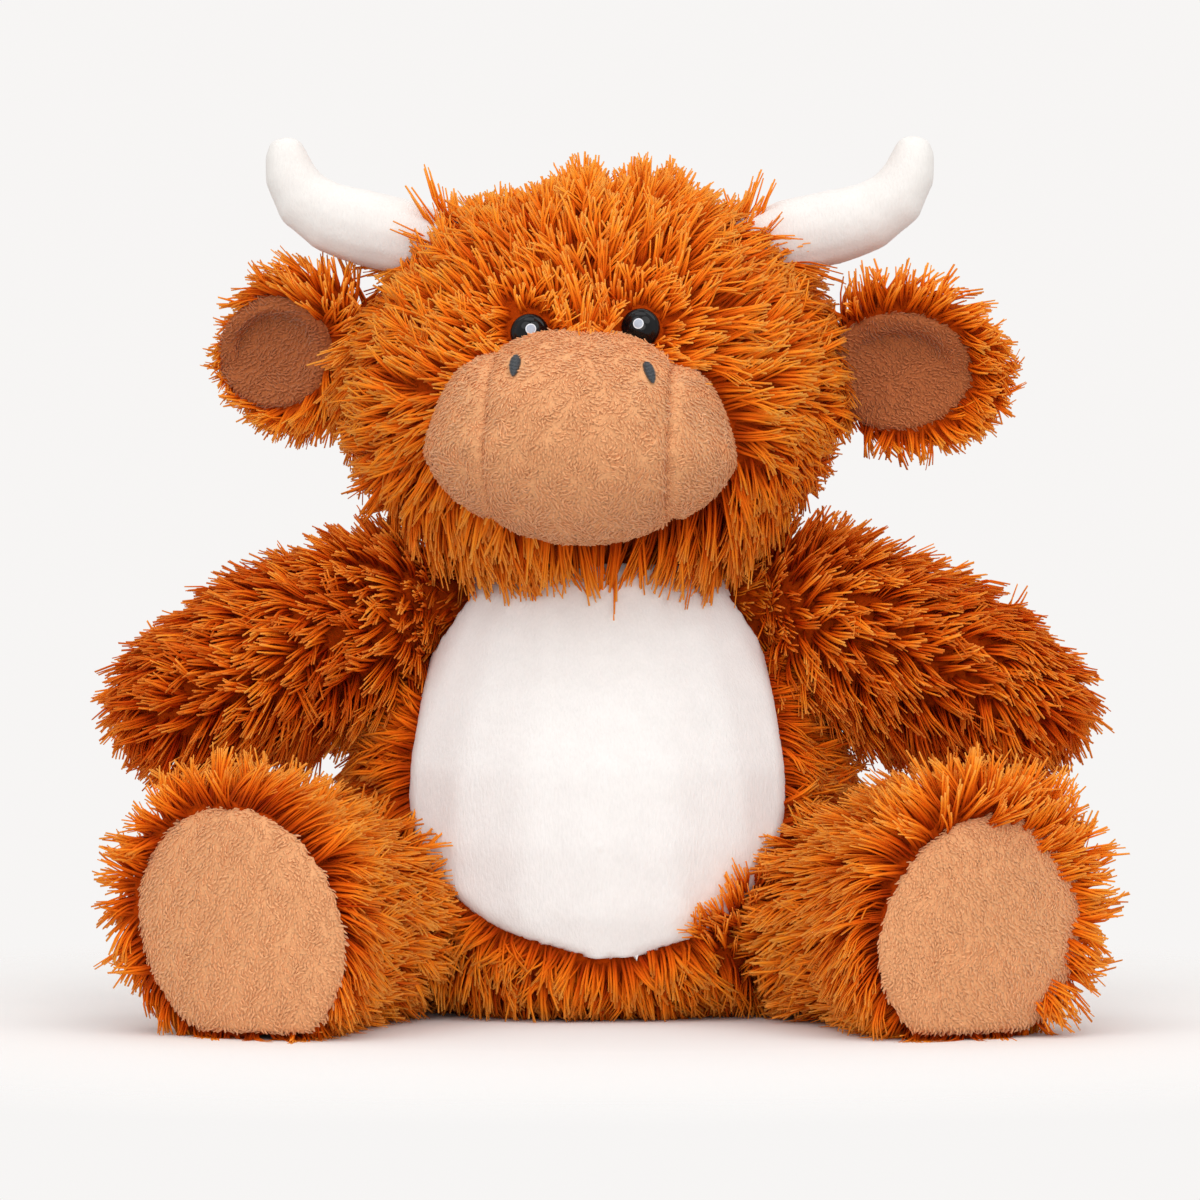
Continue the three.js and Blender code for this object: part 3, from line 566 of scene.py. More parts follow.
def pile_mesh(name, spots, normals, combs, lengths, leans, look, seed, bare=None):
    """Locks of fibres on spots. They leave the surface at a lean from its normal, bend over the way that
    they are combed, and draw together or fan out towards their tips. Fibres that reach a point for which
    bare is true are left out."""
    rng = np.random.default_rng(seed)
    points, corners = fibre(look["cuts"], look["tip"])
    locks, each = len(spots), look["fibres"]
    jitter = rng.normal(0, look["stray"], locks)
    along = unit(combs - (combs * normals).sum(1)[:, None] * normals)
    side = np.cross(normals, along)
    comb = unit(along * np.cos(jitter)[:, None] + side * np.sin(jitter)[:, None])
    side = np.cross(normals, comb)
    first = leans[:, 0] + rng.normal(0, look["lean_stray"], locks)
    last = np.maximum(leans[:, 1] + rng.normal(0, look["lean_stray"], locks), first + 0.15)
    bend = (last - first)[:, None, None]
    first = first[:, None, None]
    gather = rng.normal(look["gather"], look["gather_stray"], locks)[:, None, None]
    size = (locks, each, 1)
    turn, out = rng.random(size) * 2 * math.pi, np.sqrt(rng.random(size))
    radius = look["lock_radius"]
    sway = rng.normal(0, look["sway"], locks)[:, None, None]
    across, deep = out * np.cos(turn) * radius, out * np.sin(turn) * radius * look["flat"]
    splay_across, splay_deep = (rng.normal(0, look["splay"], size) for _ in range(2))
    length = lengths[:, None, None] * rng.uniform(look["shortest"], look["longest"], size)
    t = points[None, None, :, 2]
    wide, high = points[None, None, :, 0], points[None, None, :, 1]
    lean = first + bend * t
    rise = length * (np.sin(lean) - np.sin(first)) / bend - look["sink"]
    reach = length * (np.cos(first) - np.cos(lean)) / bend
    drawn = 1 + (gather - 1) * t
    thick = look["fibre_radius"] * rng.uniform(0.6, 1.2, size)
    sideways = across * drawn + (splay_across + sway) * t * t + wide * thick * look["broad"]
    upwards = deep * drawn + splay_deep * t * t + high * thick
    n, c, s = (v[:, None, None, :] for v in (normals, comb, side))
    over = -n * np.sin(lean)[..., None] + c * np.cos(lean)[..., None]
    place = spots[:, None, None, :] + n * rise[..., None] + c * reach[..., None]
    place = place + s * sideways[..., None] + over * upwards[..., None]
    place = place.reshape(-1, 3)
    low = place[:, 2] < FLOOR_REST
    place[low, 2] = FLOOR_REST * np.exp(place[low, 2] / FLOOR_REST - 1)
    shown = np.ones(locks * each, bool)
    if bare:
        shown = ~bare(place).reshape(locks * each, -1).any(1)
    place = place.reshape(locks * each, -1, 3)[shown].reshape(-1, 3)
    faces = corners[None] + (np.arange(shown.sum()) * len(points))[:, None, None]
    faces = faces.reshape(-1, 3)
    patch = np.clip(swirl(spots, 5, 0.03)[:, None] * 0.5 + 0.5, 0, 1)
    tone = rng.random((locks, 1)) * 0.42 + rng.random((locks, each)) * 0.3 + patch * 0.28
    # The piece's tone exponent paints shade or light over all of its locks.
    tone = tone.reshape(-1, 1)[shown] ** look["tone"]
    u = 0.02 + 0.95 * tone + 0.006 * points[None, :, 0]
    v = 0.02 + 0.94 * points[None, :, 2] + 0.01 * points[None, :, 1] + 0 * tone
    spots_on_map = np.stack([u, v], 2).reshape(-1, 2)[faces.ravel()]
    mesh = bpy.data.meshes.new(name)
    mesh.vertices.add(len(place))
    mesh.vertices.foreach_set("co", place.ravel())
    mesh.loops.add(faces.size)
    mesh.loops.foreach_set("vertex_index", faces.ravel())
    mesh.polygons.add(len(faces))
    mesh.polygons.foreach_set("loop_start", np.arange(0, faces.size, 3))
    mesh.update(calc_edges=True)
    layer = mesh.uv_layers.new(name=FIBRE_MAP)
    layer.uv.foreach_set("vector", spots_on_map.ravel())
    mesh.validate()
    return mesh


def fur_look(pile, tone):
    return dict(
        cuts=2, tip=0.55, fibres=pile.fibres, stray=0.26, lean_stray=0.14, gather=0.85, gather_stray=0.25,
        lock_radius=pile.lock_radius, flat=0.75, splay=0.8 * MM, sway=2.3 * MM, shortest=0.75, longest=1.1,
        sink=1.0 * MM, fibre_radius=pile.fibre_radius, broad=1.1, tone=tone,
    )


def minky_look(pile):
    return dict(
        cuts=1, tip=0.35, fibres=1, stray=0.35, lean_stray=0.1, gather=1, gather_stray=0,
        lock_radius=0, flat=1, splay=0.15 * MM, sway=0.35 * MM, shortest=0.7, longest=1,
        sink=0.3 * MM, fibre_radius=0.48 * MM, broad=1.25, tone=1,
    )


def laid(cloth, spacing, rule, seed, edge=None):
    """Spots on a cloth form that a rule keeps, with their normals, combed ways, shares and leans."""
    spots, normals = scattered(cloth, spacing, seed)
    if edge:
        more, more_normals = scattered(cloth, spacing, seed + 9)
        near = edge(more)
        spots, normals = np.vstack((spots, more[near])), np.vstack((normals, more_normals[near]))
    kept, combs, shares, leans = rule(spots, normals)
    return [values[kept] for values in (spots, normals, combs, shares, leans)]


def furred(name, cloth, body, rule, seed, tone=1, edge=None, bare=None):
    """Fur on a cloth form, in pieces of an even size. rule gives for spots and normals: which keep fur,
    the way that it is combed, the share of its full length, and how it leans at root and tip. A tone
    over 1 makes more of the locks dark, as painted shade over the whole piece, and one under 1 makes
    more of them light, as painted light. Where edge is true for a spot, the fur is twice as dense, and
    where bare is true for a point, no fibre reaches it."""
    pile = bpy.context.scene.plush_cow.pile
    spots, normals, combs, shares, leans = laid(cloth, pile.lock_spacing, rule, seed, edge)
    rng = np.random.default_rng(seed + 1)
    lengths = pile.fur_length * shares * rng.uniform(0.82, 1.15, len(spots))
    material = finish_named("long_fur", fur_finish, "fur_root", "fur_middle", "fur_tip", "fur_end")
    order = np.argsort(spots[:, 0], kind="stable")
    parts = math.ceil(len(spots) / PIECE_LOCKS)
    for i, part in enumerate(np.array_split(order, parts)):
        label = name if parts == 1 else f"{name}_{i + 1}"
        values = (v[part] for v in (spots, normals, combs, lengths, leans))
        mesh = pile_mesh(label, *values, fur_look(pile, tone), seed + 2 + i, bare)
        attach(put(label, mesh, material), body)


def minkied(name, cloth, body, rule, seed, colour="minky"):
    """Short tan pile on a cloth form, in one of the fabrics' colours."""
    pile = bpy.context.scene.plush_cow.pile
    spots, normals, combs, shares, leans = laid(cloth, pile.minky_spacing, rule, seed)
    mesh = pile_mesh(name, spots, normals, combs, pile.minky_length * shares, leans, minky_look(pile), seed)
    material = finish_named(f"{colour}_pile", minky_finish, colour)
    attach(put(name, mesh, material), body)


def raised(name, cloth, reach, lift, roll, material):
    """A closed panel on a cloth's front, where reach is above 0. It is raised by lift, and its edge rolls
    down to the cloth over the width of roll."""
    shape = bmesh_of(cloth)
    turned = [vert for vert in shape.verts if vert.normal.y > 0]
    bmesh.ops.delete(shape, geom=turned, context="VERTS")
    bmesh.ops.subdivide_edges(shape, edges=shape.edges, cuts=1, use_grid_fill=True)
    places = np.array([vert.co for vert in shape.verts])
    outside = [vert for vert, depth in zip(shape.verts, reach(places)) if depth < -PANEL_RIM]
    bmesh.ops.delete(shape, geom=outside, context="VERTS")
    largest_body(shape)
    shape.normal_update()
    places = np.array([vert.co for vert in shape.verts])
    for vert, depth in zip(shape.verts, reach(places)):
        rolled = held((depth + PANEL_RIM) / roll)
        vert.co += vert.normal * (lift * math.sin(rolled * math.pi / 2) - 0.6 * MM)
    relaxed(shape, 4)
    bmesh.ops.solidify(shape, geom=shape.faces, thickness=1.5 * MM)
    return sewn(name, shape, material)


def soft(obj, body, slot, fill, *nodes):
    """A stuffed piece: it rides on its body and stands for its solids."""
    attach(obj, body)
    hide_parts(*nodes)
    return obj


def swirled(combs, normals, turns):
    """The combed ways turned about the normals by small angles."""
    return combs + np.cross(normals, unit(combs)) * turns[:, None]


def sparse_behind(normals):
    """All locks but every fifth of those on the back, where the fur lies flat."""
    return (normals[:, 1] < 0.4) | (np.arange(len(normals)) % 5 > 0)


def off_floor(spots, normals):
    """All spots but those that lie on the floor."""
    return ~((spots[:, 2] < 1.5 * MM) & (normals[:, 2] < -0.8))


def far(points, centre):
    """How far points are from a centre."""
    return np.linalg.norm(points - np.array(centre), axis=1)


def clear_of(spots, sockets):
    """Spots out of sockets, which are given by their joints and their radii in millimetres."""
    return np.all([far(spots, JOINTS[joint]) > radius * MM for joint, radius in sockets], axis=0)


def grown(values, start, width):
    """From 0 at a start to 1 at a width beyond it, in millimetres. A width below 0 counts down."""
    return np.clip((values - start * MM) / (width * MM), 0, 1)


def faded(distances, reach, full=1):
    """From full down by 1 for each reach in millimetres, between 0 and 1."""
    return np.clip(full - distances / (reach * MM), 0, 1)


def blended(first, second, shares):
    """Rows of first that give way to second by a share each."""
    return first * (1 - shares[:, None]) + second * shares[:, None]


def leaning(count, first, last):
    """One lean at the root and one at the tip for all spots, from degrees to radians off the normal."""
    return np.tile([math.radians(first), math.radians(last)], (count, 1))


def middle_of(node):
    low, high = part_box(node)
    return (low + high) / 2


# Operators


# The belly panel's half widths at shares of its height, as shares of its full half width
BELLY_RISES = (0, 0.036, 0.095, 0.2, 0.3, 0.4, 0.5, 0.66, 0.815, 0.92, 1)
BELLY_HALVES = (0, 0.37, 0.635, 0.86, 0.965, 0.995, 0.985, 0.935, 0.87, 0.82, 0.77)
# Joints whose sockets carry no fur, with the sockets' radii in millimetres
TRUNK_SOCKETS = (
    ("right_shoulder", 20), ("left_shoulder", 20), ("right_hip", 23), ("left_hip", 23), ("tail_swing", 7),
)
HEAD_SOCKETS = (
    ("right_horn_bend", 10), ("left_horn_bend", 10), ("right_ear_flap", 6), ("left_ear_flap", 6),
    ("head_turn", 41),
)


class SewTrunk(bpy.types.Operator):
    """Sew the trunk: its cloth, fur, belly panel and neck band"""

    bl_idname = "plush_cow.sew_trunk"
    bl_label = "Sew Trunk"

    def execute(self, context):
        nodes = ("torso_skin", "belly_panel", "torso_stuffing", "seat_pellet_bag")
        trunk = plump("trunk_cloth", nodes, 2.5 * MM, 12, 0.2 * MM, fur_ground())
        soft(trunk, "torso", "orange_fur", 0.8, "torso_skin")
        within = self.panel_reach()
        white = finish_named("belly_pile", white_finish, "white")
        belly = raised("belly_plush", trunk, within, 3.4 * MM, 5 * MM, white)
        soft(belly, "torso", "white_plush", 0.9, "belly_panel")
        centre = np.array(middle_of("belly_panel"))

        def outside(spots):
            return np.where(spots[:, 1] < -4 * MM, -within(spots), 40 * MM)

        def rule(spots, normals):
            from_panel = outside(spots)
            corner = (spots[:, 2] > 100 * MM) & (spots[:, 0] < -25 * MM)
            kept = from_panel > np.where(corner, 0.6, -1.2) * MM
            kept &= sparse_behind(normals) & clear_of(spots, TRUNK_SOCKETS) & off_floor(spots, normals)
            kept &= (spots[:, 2] <= NECK.z + 14 * MM) | (far(spots, NECK) > 39 * MM)
            away = spots - centre
            away[:, 1] *= 0.4
            frontness = np.clip(-normals[:, 1] * 1.6 + 0.3, 0, 1)[:, None]
            combs = unit(away) * frontness + np.array([0, 0, -1.0]) * (1.15 - frontness) + normals * 0.001
            combs = swirled(combs, normals, 0.55 * swirl(spots, 11) + 0.3 * swirl(spots, 12, 0.015))
            shares = np.clip(0.8 + from_panel / (12 * MM) * 0.2, 0.7, 1)
            shares = np.where(corner & (from_panel < 8 * MM), 0.7, shares)
            shares = shares * np.where(spots[:, 2] < 12 * MM, 0.8, 1)
            flank = grown(np.abs(spots[:, 0]), 52, 10)
            flank = flank * grown(spots[:, 2], 45, 20) * (spots[:, 2] < 115 * MM)
            shares = shares * (1 + 0.25 * flank)
            tuft = np.hypot(spots[:, 0] - 41 * MM, spots[:, 2] - 32 * MM) < 12 * MM
            tuft &= normals[:, 1] < 0
            combs[tuft] = np.array([-0.75, -0.1, 0.75])
            shares = np.where(tuft, 0.95, shares)
            return kept, combs, shares, leaning(len(spots), 38, 82)

        furred("trunk_fur", trunk, "torso", rule, 100, 1, lambda spots: np.abs(outside(spots)) < 4 * MM)
        band = plump("neck_band_cloth", ("neck_seam_band",), 1.8 * MM, 3, 0, fur_ground())
        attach(band, "neck")
        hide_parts("neck_seam_band")
        return {"FINISHED"}

    def panel_reach(self):
        """How far points lie within the belly panel's outline, seen from the front: less than 0 outside."""
        low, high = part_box("belly_panel")
        rises = np.linspace(0, 1, 121)
        half_width = (high.x - low.x) / 2
        halves = np.interp(rises, BELLY_RISES, BELLY_HALVES)
        halves = np.convolve(np.pad(halves, 4, mode="edge"), np.ones(9) / 9, mode="valid") * half_width
        halves[0] = 0
        heights = low.z + rises * (high.z - low.z)

        def within(points):
            middle = 4 * MM * grown(points[:, 2], 48, -26) - 0.8 * MM
            across = np.abs(points[:, 0] - middle)
            gaps = np.hypot(across[:, None] - halves, points[:, 2][:, None] - heights).min(1)
            inside = across < np.interp(points[:, 2], heights, halves, left=-1, right=-1)
            return np.where(inside, gaps, -gaps)

        return within


class SewHead(bpy.types.Operator):
    """Sew the head: its cloth and the fur that is combed away from the muzzle"""

    bl_idname = "plush_cow.sew_head"
    bl_label = "Sew Head"

    def execute(self, context):
        head = plump("head_cloth", ("head_skin", "head_stuffing"), 2.5 * MM, 12, 0.2 * MM, fur_ground())
        soft(head, "head", "orange_fur", 0.85, "head_skin")
        low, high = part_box("head_skin")
        muzzle_low, muzzle_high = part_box("muzzle_centre_panel")
        muzzle = hull("muzzle_centre_panel", "muzzle_right_panel", "muzzle_left_panel")
        eyes = np.array([middle_of(f"{name}_eye") for name, _ in SIDES])
        source = np.array(((muzzle_low.x + muzzle_high.x) / 2, low.y, muzzle_high.z - 20 * MM))

        def around_eyes(spots):
            flat = spots - eyes[:, None]
            flat[:, :, 1] *= 0.3
            return flat, np.linalg.norm(flat, axis=2).min(0)

        def rule(spots, normals):
            kept = ~muzzle(spots, 1 * MM) & sparse_behind(normals) & clear_of(spots, HEAD_SOCKETS)
            behind = normals[:, 1] > 0
            flat, from_eyes = around_eyes(spots)
            kept &= (from_eyes > EYE_ROOTS) | behind
            rear = grown(spots[:, 1] - middle_of("head_skin").y, 0, 50)[:, None]
            combs = unit(spots - source) * (1 - rear * 0.7) + np.array([0, 0.1, -1.2]) * rear
            combs = swirled(combs, normals, 0.4 * swirl(spots, 21) + 0.25 * swirl(spots, 22, 0.015))
            front = np.clip(-normals[:, 1] * 3, 0, 1)
            nearest = eyes[np.linalg.norm(flat, axis=2).argmin(0)]
            at_eye = faded(from_eyes, 9, 1.6) * front
            from_eye = unit((spots - nearest) * np.array([1, 0, 1]))
            combs = combs * (1 - 0.75 * at_eye[:, None]) + from_eye * 1.6 * at_eye[:, None]
            shares = 1 - 0.35 * faded(from_eyes, 14, 1.5) * front - 0.25 * at_eye
            chin = grown(low.z + 30 * MM - spots[:, 2], 0, 16) * grown(spots[:, 1], 0, -20)
            shares = shares * (1 + 0.5 * chin)
            combs = blended(combs, np.array([0, -0.25, -1.1]), chin)
            for name, side in SIDES:
                at_horn = faded(far(spots, JOINTS[f"{name}_horn_bend"]), 15, 1.6)
                at_ear = faded(far(spots, JOINTS[f"{name}_ear_flap"]), 16, 1.6)
                shares = shares * (1 + 0.5 * at_horn) * (1 + (0.35 if side < 0 else -0.25) * at_ear)
                over = (-1.2, -0.5, 0) if side < 0 else (0.1, -0.3, -1.3)
                combs = combs + np.array([side * 1.1, -0.3, 0.2]) * at_horn[:, None]
                combs = combs + np.array(over) * at_ear[:, None]
                jaw = faded(np.hypot(spots[:, 0] - side * 70 * MM, spots[:, 2] - 168 * MM), 20, 1.6)
                shares = shares * (1 - (0.1 if side < 0 else 0.5) * jaw)
            along = unit(combs - (combs * normals).sum(1)[:, None] * normals)
            reach = (along * 0.8 + normals * 0.4) * 17 * MM * shares[:, None]
            for part in (0.25, 0.5, 0.75, 1):
                gaps = (spots + reach * part)[:, None, (0, 2)] - eyes[None][:, :, (0, 2)]
                kept &= (np.linalg.norm(gaps, axis=2).min(1) > EYE_PATHS) | behind
            crown = grown(spots[:, 2] - (high.z - 14 * MM), 0, 10)
            parting = np.exp(-(((spots[:, 0] - 3 * MM) / (5 * MM)) ** 2))
            sides = grown(np.abs(spots[:, 0] - 8 * MM), 14, 12)
            shares = shares * (1 - crown * np.maximum(0.6 * parting, 0.16 + 0.44 * sides))
            leans = leaning(len(spots), 36, 82)
            leans[:, 0] += np.radians(10) * front - np.radians(32) * at_eye - 0.5 * crown
            leans[:, 1] -= np.radians(38) * at_eye + 0.85 * crown
            hanging = chin * np.clip(-normals[:, 2], 0, 1)
            leans[:, 0] -= np.radians(28) * hanging
            leans[:, 1] -= np.radians(45) * hanging
            return kept, combs, shares, leans

        def at_eyes(spots):
            return around_eyes(spots)[1] < EYE_RING

        def before_eyes(points):
            seen = (eyes[0] + np.array(EYE_SHIFT) * MM, eyes[1])
            gaps = [np.hypot(*(points - eye)[:, (0, 2)].T) for eye in seen]
            return (np.min(gaps, 0) < EYE_VIEW) & (points[:, 1] < 0)

        # A tone of 0.8: the head's locks are lighter as painted light.
        furred("head_fur", head, "head", rule, 200, 0.8, at_eyes, before_eyes)
        return {"FINISHED"}


# The radii of the muzzle's outline at angles upwards from its sides, in degrees and millimetres
MUZZLE_ANGLES = (-90, -70, -50, -32, -18, -7, 6, 29, 42, 52, 90)
MUZZLE_RADII = (32.2, 33, 35.8, 41, 44.6, 46.8, 44.2, 42, 38.4, 36.6, 32.4)
SEAM_BOW = 1.5 * MM  # how far the muzzle's seams bow outwards
STITCH_ROWS = 15


class SewMuzzle(bpy.types.Operator):
    """Sew the muzzle: three tan panels with sunk seams, their pile and the nostrils"""

    bl_idname = "plush_cow.sew_muzzle"
    bl_label = "Sew Muzzle"

    def execute(self, context):
        ground = finish_named("minky_ground", minky_ground_finish, "minky")
        low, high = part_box("muzzle_centre_panel")
        depth = 42 * MM
        half_width = (high.x - low.x) / 2
        seams = {-1: half_width * 0.88, 1: half_width * 0.97}
        centre = Vector(((low.x + high.x) / 2, low.y + depth, low.z * 0.53 + high.z * 0.47))
        set_on = Matrix.Rotation(MUZZLE_TURN, 3, "Z") @ Matrix.Rotation(math.radians(2), 3, "Y")
        shape = self.form(depth)
        panels = {}
        for name, reach in (("right", -1), ("centre", 0), ("left", 1)):
            part = shape.copy()
            for side in (-1, 1):
                if reach not in (0, side):
                    continue
                geometry = part.verts[:] + part.edges[:] + part.faces[:]
                bmesh.ops.bisect_plane(
                    part, geom=geometry, plane_co=(side * seams[side], 0, 0), plane_no=(side, 0, 0),
                    clear_outer=reach == 0, clear_inner=reach != 0,
                )
                rims = [edge for edge in part.edges if edge.is_boundary]
                bmesh.ops.holes_fill(part, edges=rims, sides=0)
            for vert in part.verts:
                vert.co = set_on @ self.sunk(vert.co, seams) + centre
            panel = sewn(f"muzzle_{name}_plush", part, ground)
            soft(panel, "head", "tan_minky", 0.85, f"muzzle_{name}_panel")
            panels[name] = panel
        for vert in shape.verts:
            vert.co = set_on @ (vert.co * 0.9) + centre
        filling = sewn("muzzle_filling", shape, loose_fibre())
        soft(filling, "head", "fibre_filling", 0.9, "muzzle_stuffing")
        self.lay_pile(panels, centre, set_on, seams)
        self.stitch_nostrils(panels["centre"])
        return {"FINISHED"}

    def form(self, depth):
        """The stuffed muzzle about its middle, on the outline that it shows to the front."""
        shape = bmesh.new()
        bmesh.ops.create_uvsphere(shape, u_segments=144, v_segments=96, radius=1)
        bmesh.ops.rotate(shape, verts=shape.verts, matrix=Matrix.Rotation(math.pi / 2, 3, "X"))
        for vert in shape.verts:
            x, y, z = vert.co
            angle = math.degrees(math.atan2(z, abs(x)))
            radius = np.interp(angle, MUZZLE_ANGLES, MUZZLE_RADII) * MM
            spread = math.hypot(x, z)
            scale = radius * spread**0.9 / max(spread, 1e-9)
            vert.co = Vector((x * scale, y * depth, z * scale))
        relaxed(shape, 10)
        return shape

    def sunk(self, spot, seams):
        """The place of a point once the seams are drawn in and bowed, with small puckers along them."""
        side = math.copysign(1, spot.x)
        seam_reach = seams[side]
        from_seam = abs(abs(spot.x) - seam_reach)
        ripple = 1 + 0.25 * math.sin(spot.z / MM * 1.7) + 0.2 * math.sin(spot.z / MM * 0.63 + side)
        groove = math.exp(-((from_seam / (1.3 * MM)) ** 2)) * (1.7 + 0.4 * side) * ripple
        hollow = math.exp(-((from_seam / (7 * MM)) ** 2)) * (0.8 + 0.2 * side)
        pucker = math.exp(-(((spot - Vector((-seam_reach, -36 * MM, 5 * MM))).length / (6 * MM)) ** 2))
        sunk = spot - spot.normalized() * (groove + hollow + pucker) * MM
        bow = (1 - (spot.z / (30 * MM)) ** 2) * SEAM_BOW
        sunk.x += side * bow * min(abs(spot.x) / seam_reach, 1)
        return sunk

    def lay_pile(self, panels, centre, set_on, seams):
        """Pile on the panels, but not in the seams, under the nostrils or inside the head."""
        head = hull("head_skin")

        def rule(spots, normals):
            local = (spots - np.array(centre)) @ np.array(set_on)
            facing = normals @ np.array(set_on)
            kept = ~head(spots, 3 * MM) & (normals[:, 1] < 0.6)
            for name, _ in SIDES:
                middle = self.nostril(name)
                oval = np.hypot((spots[:, 0] - middle.x) / (2.3 * MM), (spots[:, 2] - middle.z) / (4 * MM))
                kept &= oval > 1
            seam_reach = np.where(local[:, 0] < 0, seams[-1], seams[1])
            kept &= ~((np.abs(facing[:, 0]) > 0.97) & (np.abs(local[:, 0]) < seam_reach + 3.5 * MM))
            combs = np.stack([local[:, 0] * 10, np.zeros(len(spots)), np.full(len(spots), -0.75)], 1)
            combs[:, 0] += 1.1 * swirl(spots, 31, 0.009)
            combs[:, 2] += 0.9 * swirl(spots, 32, 0.011)
            bow = (1 - (local[:, 2] / (30 * MM)) ** 2) * SEAM_BOW
            from_seam = np.abs(np.abs(local[:, 0]) - seam_reach - bow)
            shares = 0.6 + 0.4 * grown(from_seam, 0, 2.5)
            return kept, combs, shares, leaning(len(spots), 44, 80)

        for i, (name, panel) in enumerate(panels.items()):
            minkied(f"muzzle_{name}_pile", panel, "head", rule, 300 + i)

    def nostril(self, name):
        """The middle of a nostril: both sit a little further to the cow's left than their solids."""
        return middle_of(f"{name}_nostril") + Vector((1.2 if name == "right" else 0.75, 0, 0)) * MM

    def stitch_nostrils(self, panel):
        """Ovals of satin stitches, laid one under the other on the muzzle's slope."""
        thread = finish_named("nostril_thread", thread_finish, "thread")
        surface = searched(panel)
        for name, side in SIDES:
            middle = self.nostril(name)
            shape = bmesh.new()
            for row in range(STITCH_ROWS):
                share = (row + 0.5) / STITCH_ROWS * 2 - 1
                half = 1.75 * MM * (1 - abs(share) ** 3) ** 0.5 * (1 + min(share, 0) * 0.45) + 0.2 * MM
                place = middle + Vector(((0.35 if side < 0 else -0.9) * share * MM, 0, share * 3.3 * MM))
                spot, normal, _, _ = surface.ray_cast(place - Vector((0, 40 * MM, 0)), Vector((0, 1, 0)))
                made = bmesh.ops.create_uvsphere(shape, u_segments=10, v_segments=8, radius=1)
                bmesh.ops.scale(shape, verts=made["verts"], vec=(half, 1.1 * MM, 0.3 * MM))
                tilt = Matrix.Rotation(math.radians(side * 5), 3, "Y")
                bmesh.ops.rotate(shape, verts=made["verts"], matrix=tilt)
                bmesh.ops.translate(shape, verts=made["verts"], vec=spot + normal * 0.6 * MM)
            stitches = sewn(f"{name}_nostril_stitches", shape, thread)
            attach(stitches, "head")
            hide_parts(f"{name}_nostril")


# Radii and places along the stem of an eye and of its washer, in millimetres
EYE_PROFILE = (
    (0, -4.4), (1.6, -4.25), (3.0, -3.75), (4.1, -2.9), (4.7, -2.2), (5.0, -2.05), (5.6, -1.7), (6, -0.9),
    (6.05, -0.1), (5.7, 0.3), (2.0, 0.4), (2.0, 13.0), (0, 13.2),
)
WASHER_PROFILE = (
    (2.3, 5.2), (4.2, 4.9), (6.0, 5.4), (6.5, 5.9), (6.4, 6.4), (4.2, 6.3), (2.3, 7.0), (2.3, 5.2),
)


class SetEyes(bpy.types.Operator):
    """Set the safety eyes: a glossy dome with a rim on its stem, and the washer behind the cloth"""

    bl_idname = "plush_cow.set_eyes"
    bl_label = "Set Eyes"

    def execute(self, context):
        washer = finish_named("washer_plastic_moulded", washer_finish)
        for name, side in SIDES:
            middle = middle_of(f"{name}_eye")
            if side < 0:
                middle += Vector(EYE_SHIFT) * MM
            seat = Vector((middle.x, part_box(f"{name}_eye")[0].y + 4.4 * MM, middle.z))
            # The middle of the eye's painted highlight.
            light = seat + Vector((-0.2 * MM - side * 0.6 * MM, -4.2 * MM, 1.1 * MM))
            gloss = eye_finish(f"{name}_eye_gloss", light)
            dome = sewn(f"{name}_eye_dome", self.spun(EYE_PROFILE, seat), gloss)
            rounding = dome.modifiers.new("rounding", "SUBSURF")
            rounding.levels = rounding.render_levels = 1
            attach(dome, "head")
            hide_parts(f"{name}_eye")
            disc = sewn(f"{name}_eye_lock_washer", self.spun(WASHER_PROFILE, seat), washer)
            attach(disc, "head")
            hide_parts(f"{name}_eye_washer")
        return {"FINISHED"}

    def spun(self, profile, seat):
        """A turned part on its seat."""
        shape = bmesh.new()
        verts = [shape.verts.new((radius * MM, along * MM, 0)) for radius, along in profile]
        edges = [shape.edges.new(pair) for pair in zip(verts, verts[1:])]
        bmesh.ops.spin(
            shape, geom=verts + edges, cent=(0, 0, 0), axis=(0, 1, 0), angle=2 * math.pi, steps=48,
            use_merge=True,
        )
        bmesh.ops.remove_doubles(shape, verts=shape.verts, dist=0.01 * MM)
        bmesh.ops.rotate(shape, verts=shape.verts, matrix=Matrix.Rotation(MUZZLE_TURN, 3, "Z"))
        bmesh.ops.translate(shape, verts=shape.verts, vec=seat)
        return shape


# How far the stuffed horns sag, are fuller below, and reach outwards, in millimetres
HORN_SAGS = {"right": (0.4, 1.2, 1.4), "left": (1.4, 0.6, 1.4)}


class SewHorns(bpy.types.Operator):
    """Sew the white horns"""

    bl_idname = "plush_cow.sew_horns"
    bl_label = "Sew Horns"

    def execute(self, context):
        # The white plush with the horns' painted shade.
        white = finish_named("horn_pile", white_finish, "horn")
        for name, side in SIDES:
            nodes = (f"{name}_horn", f"{name}_horn_stuffing")
            horn = plump(f"{name}_horn_plush", nodes, 1.3 * MM, 30, 0.5 * MM, white)
            drop, belly, outward = HORN_SAGS[name]
            root = JOINTS[f"{name}_horn_bend"]
            moves = []
            for vert in horn.data.vertices:
                free = held((vert.co - root).length / (26 * MM) - 0.25)
                under = max(0, -vert.normal.z) + 0.3 * max(0, vert.normal.x * side)
                moves.append(Vector((side * outward, 0, -drop - belly * under)) * free * MM)
            for vert, move in zip(horn.data.vertices, moves):
                vert.co += move
            soft(horn, f"{name}_horn_body", "white_plush", 0.9, f"{name}_horn")
        return {"FINISHED"}


EAR_STRETCHES = {"right": 1.07, "left": 1}
# The middle and the half sizes of a lining's outline, in millimetres
EAR_LININGS = {"right": ((-105.5, 211.5), (18.5, 17.5)), "left": ((94.5, 203.8), (22.8, 17.8))}
# The shares of the fur's length at the outer edge and at the lower edge
EAR_FRINGES = {"right": (0.42, 0.62), "left": (0.42, 0.52)}


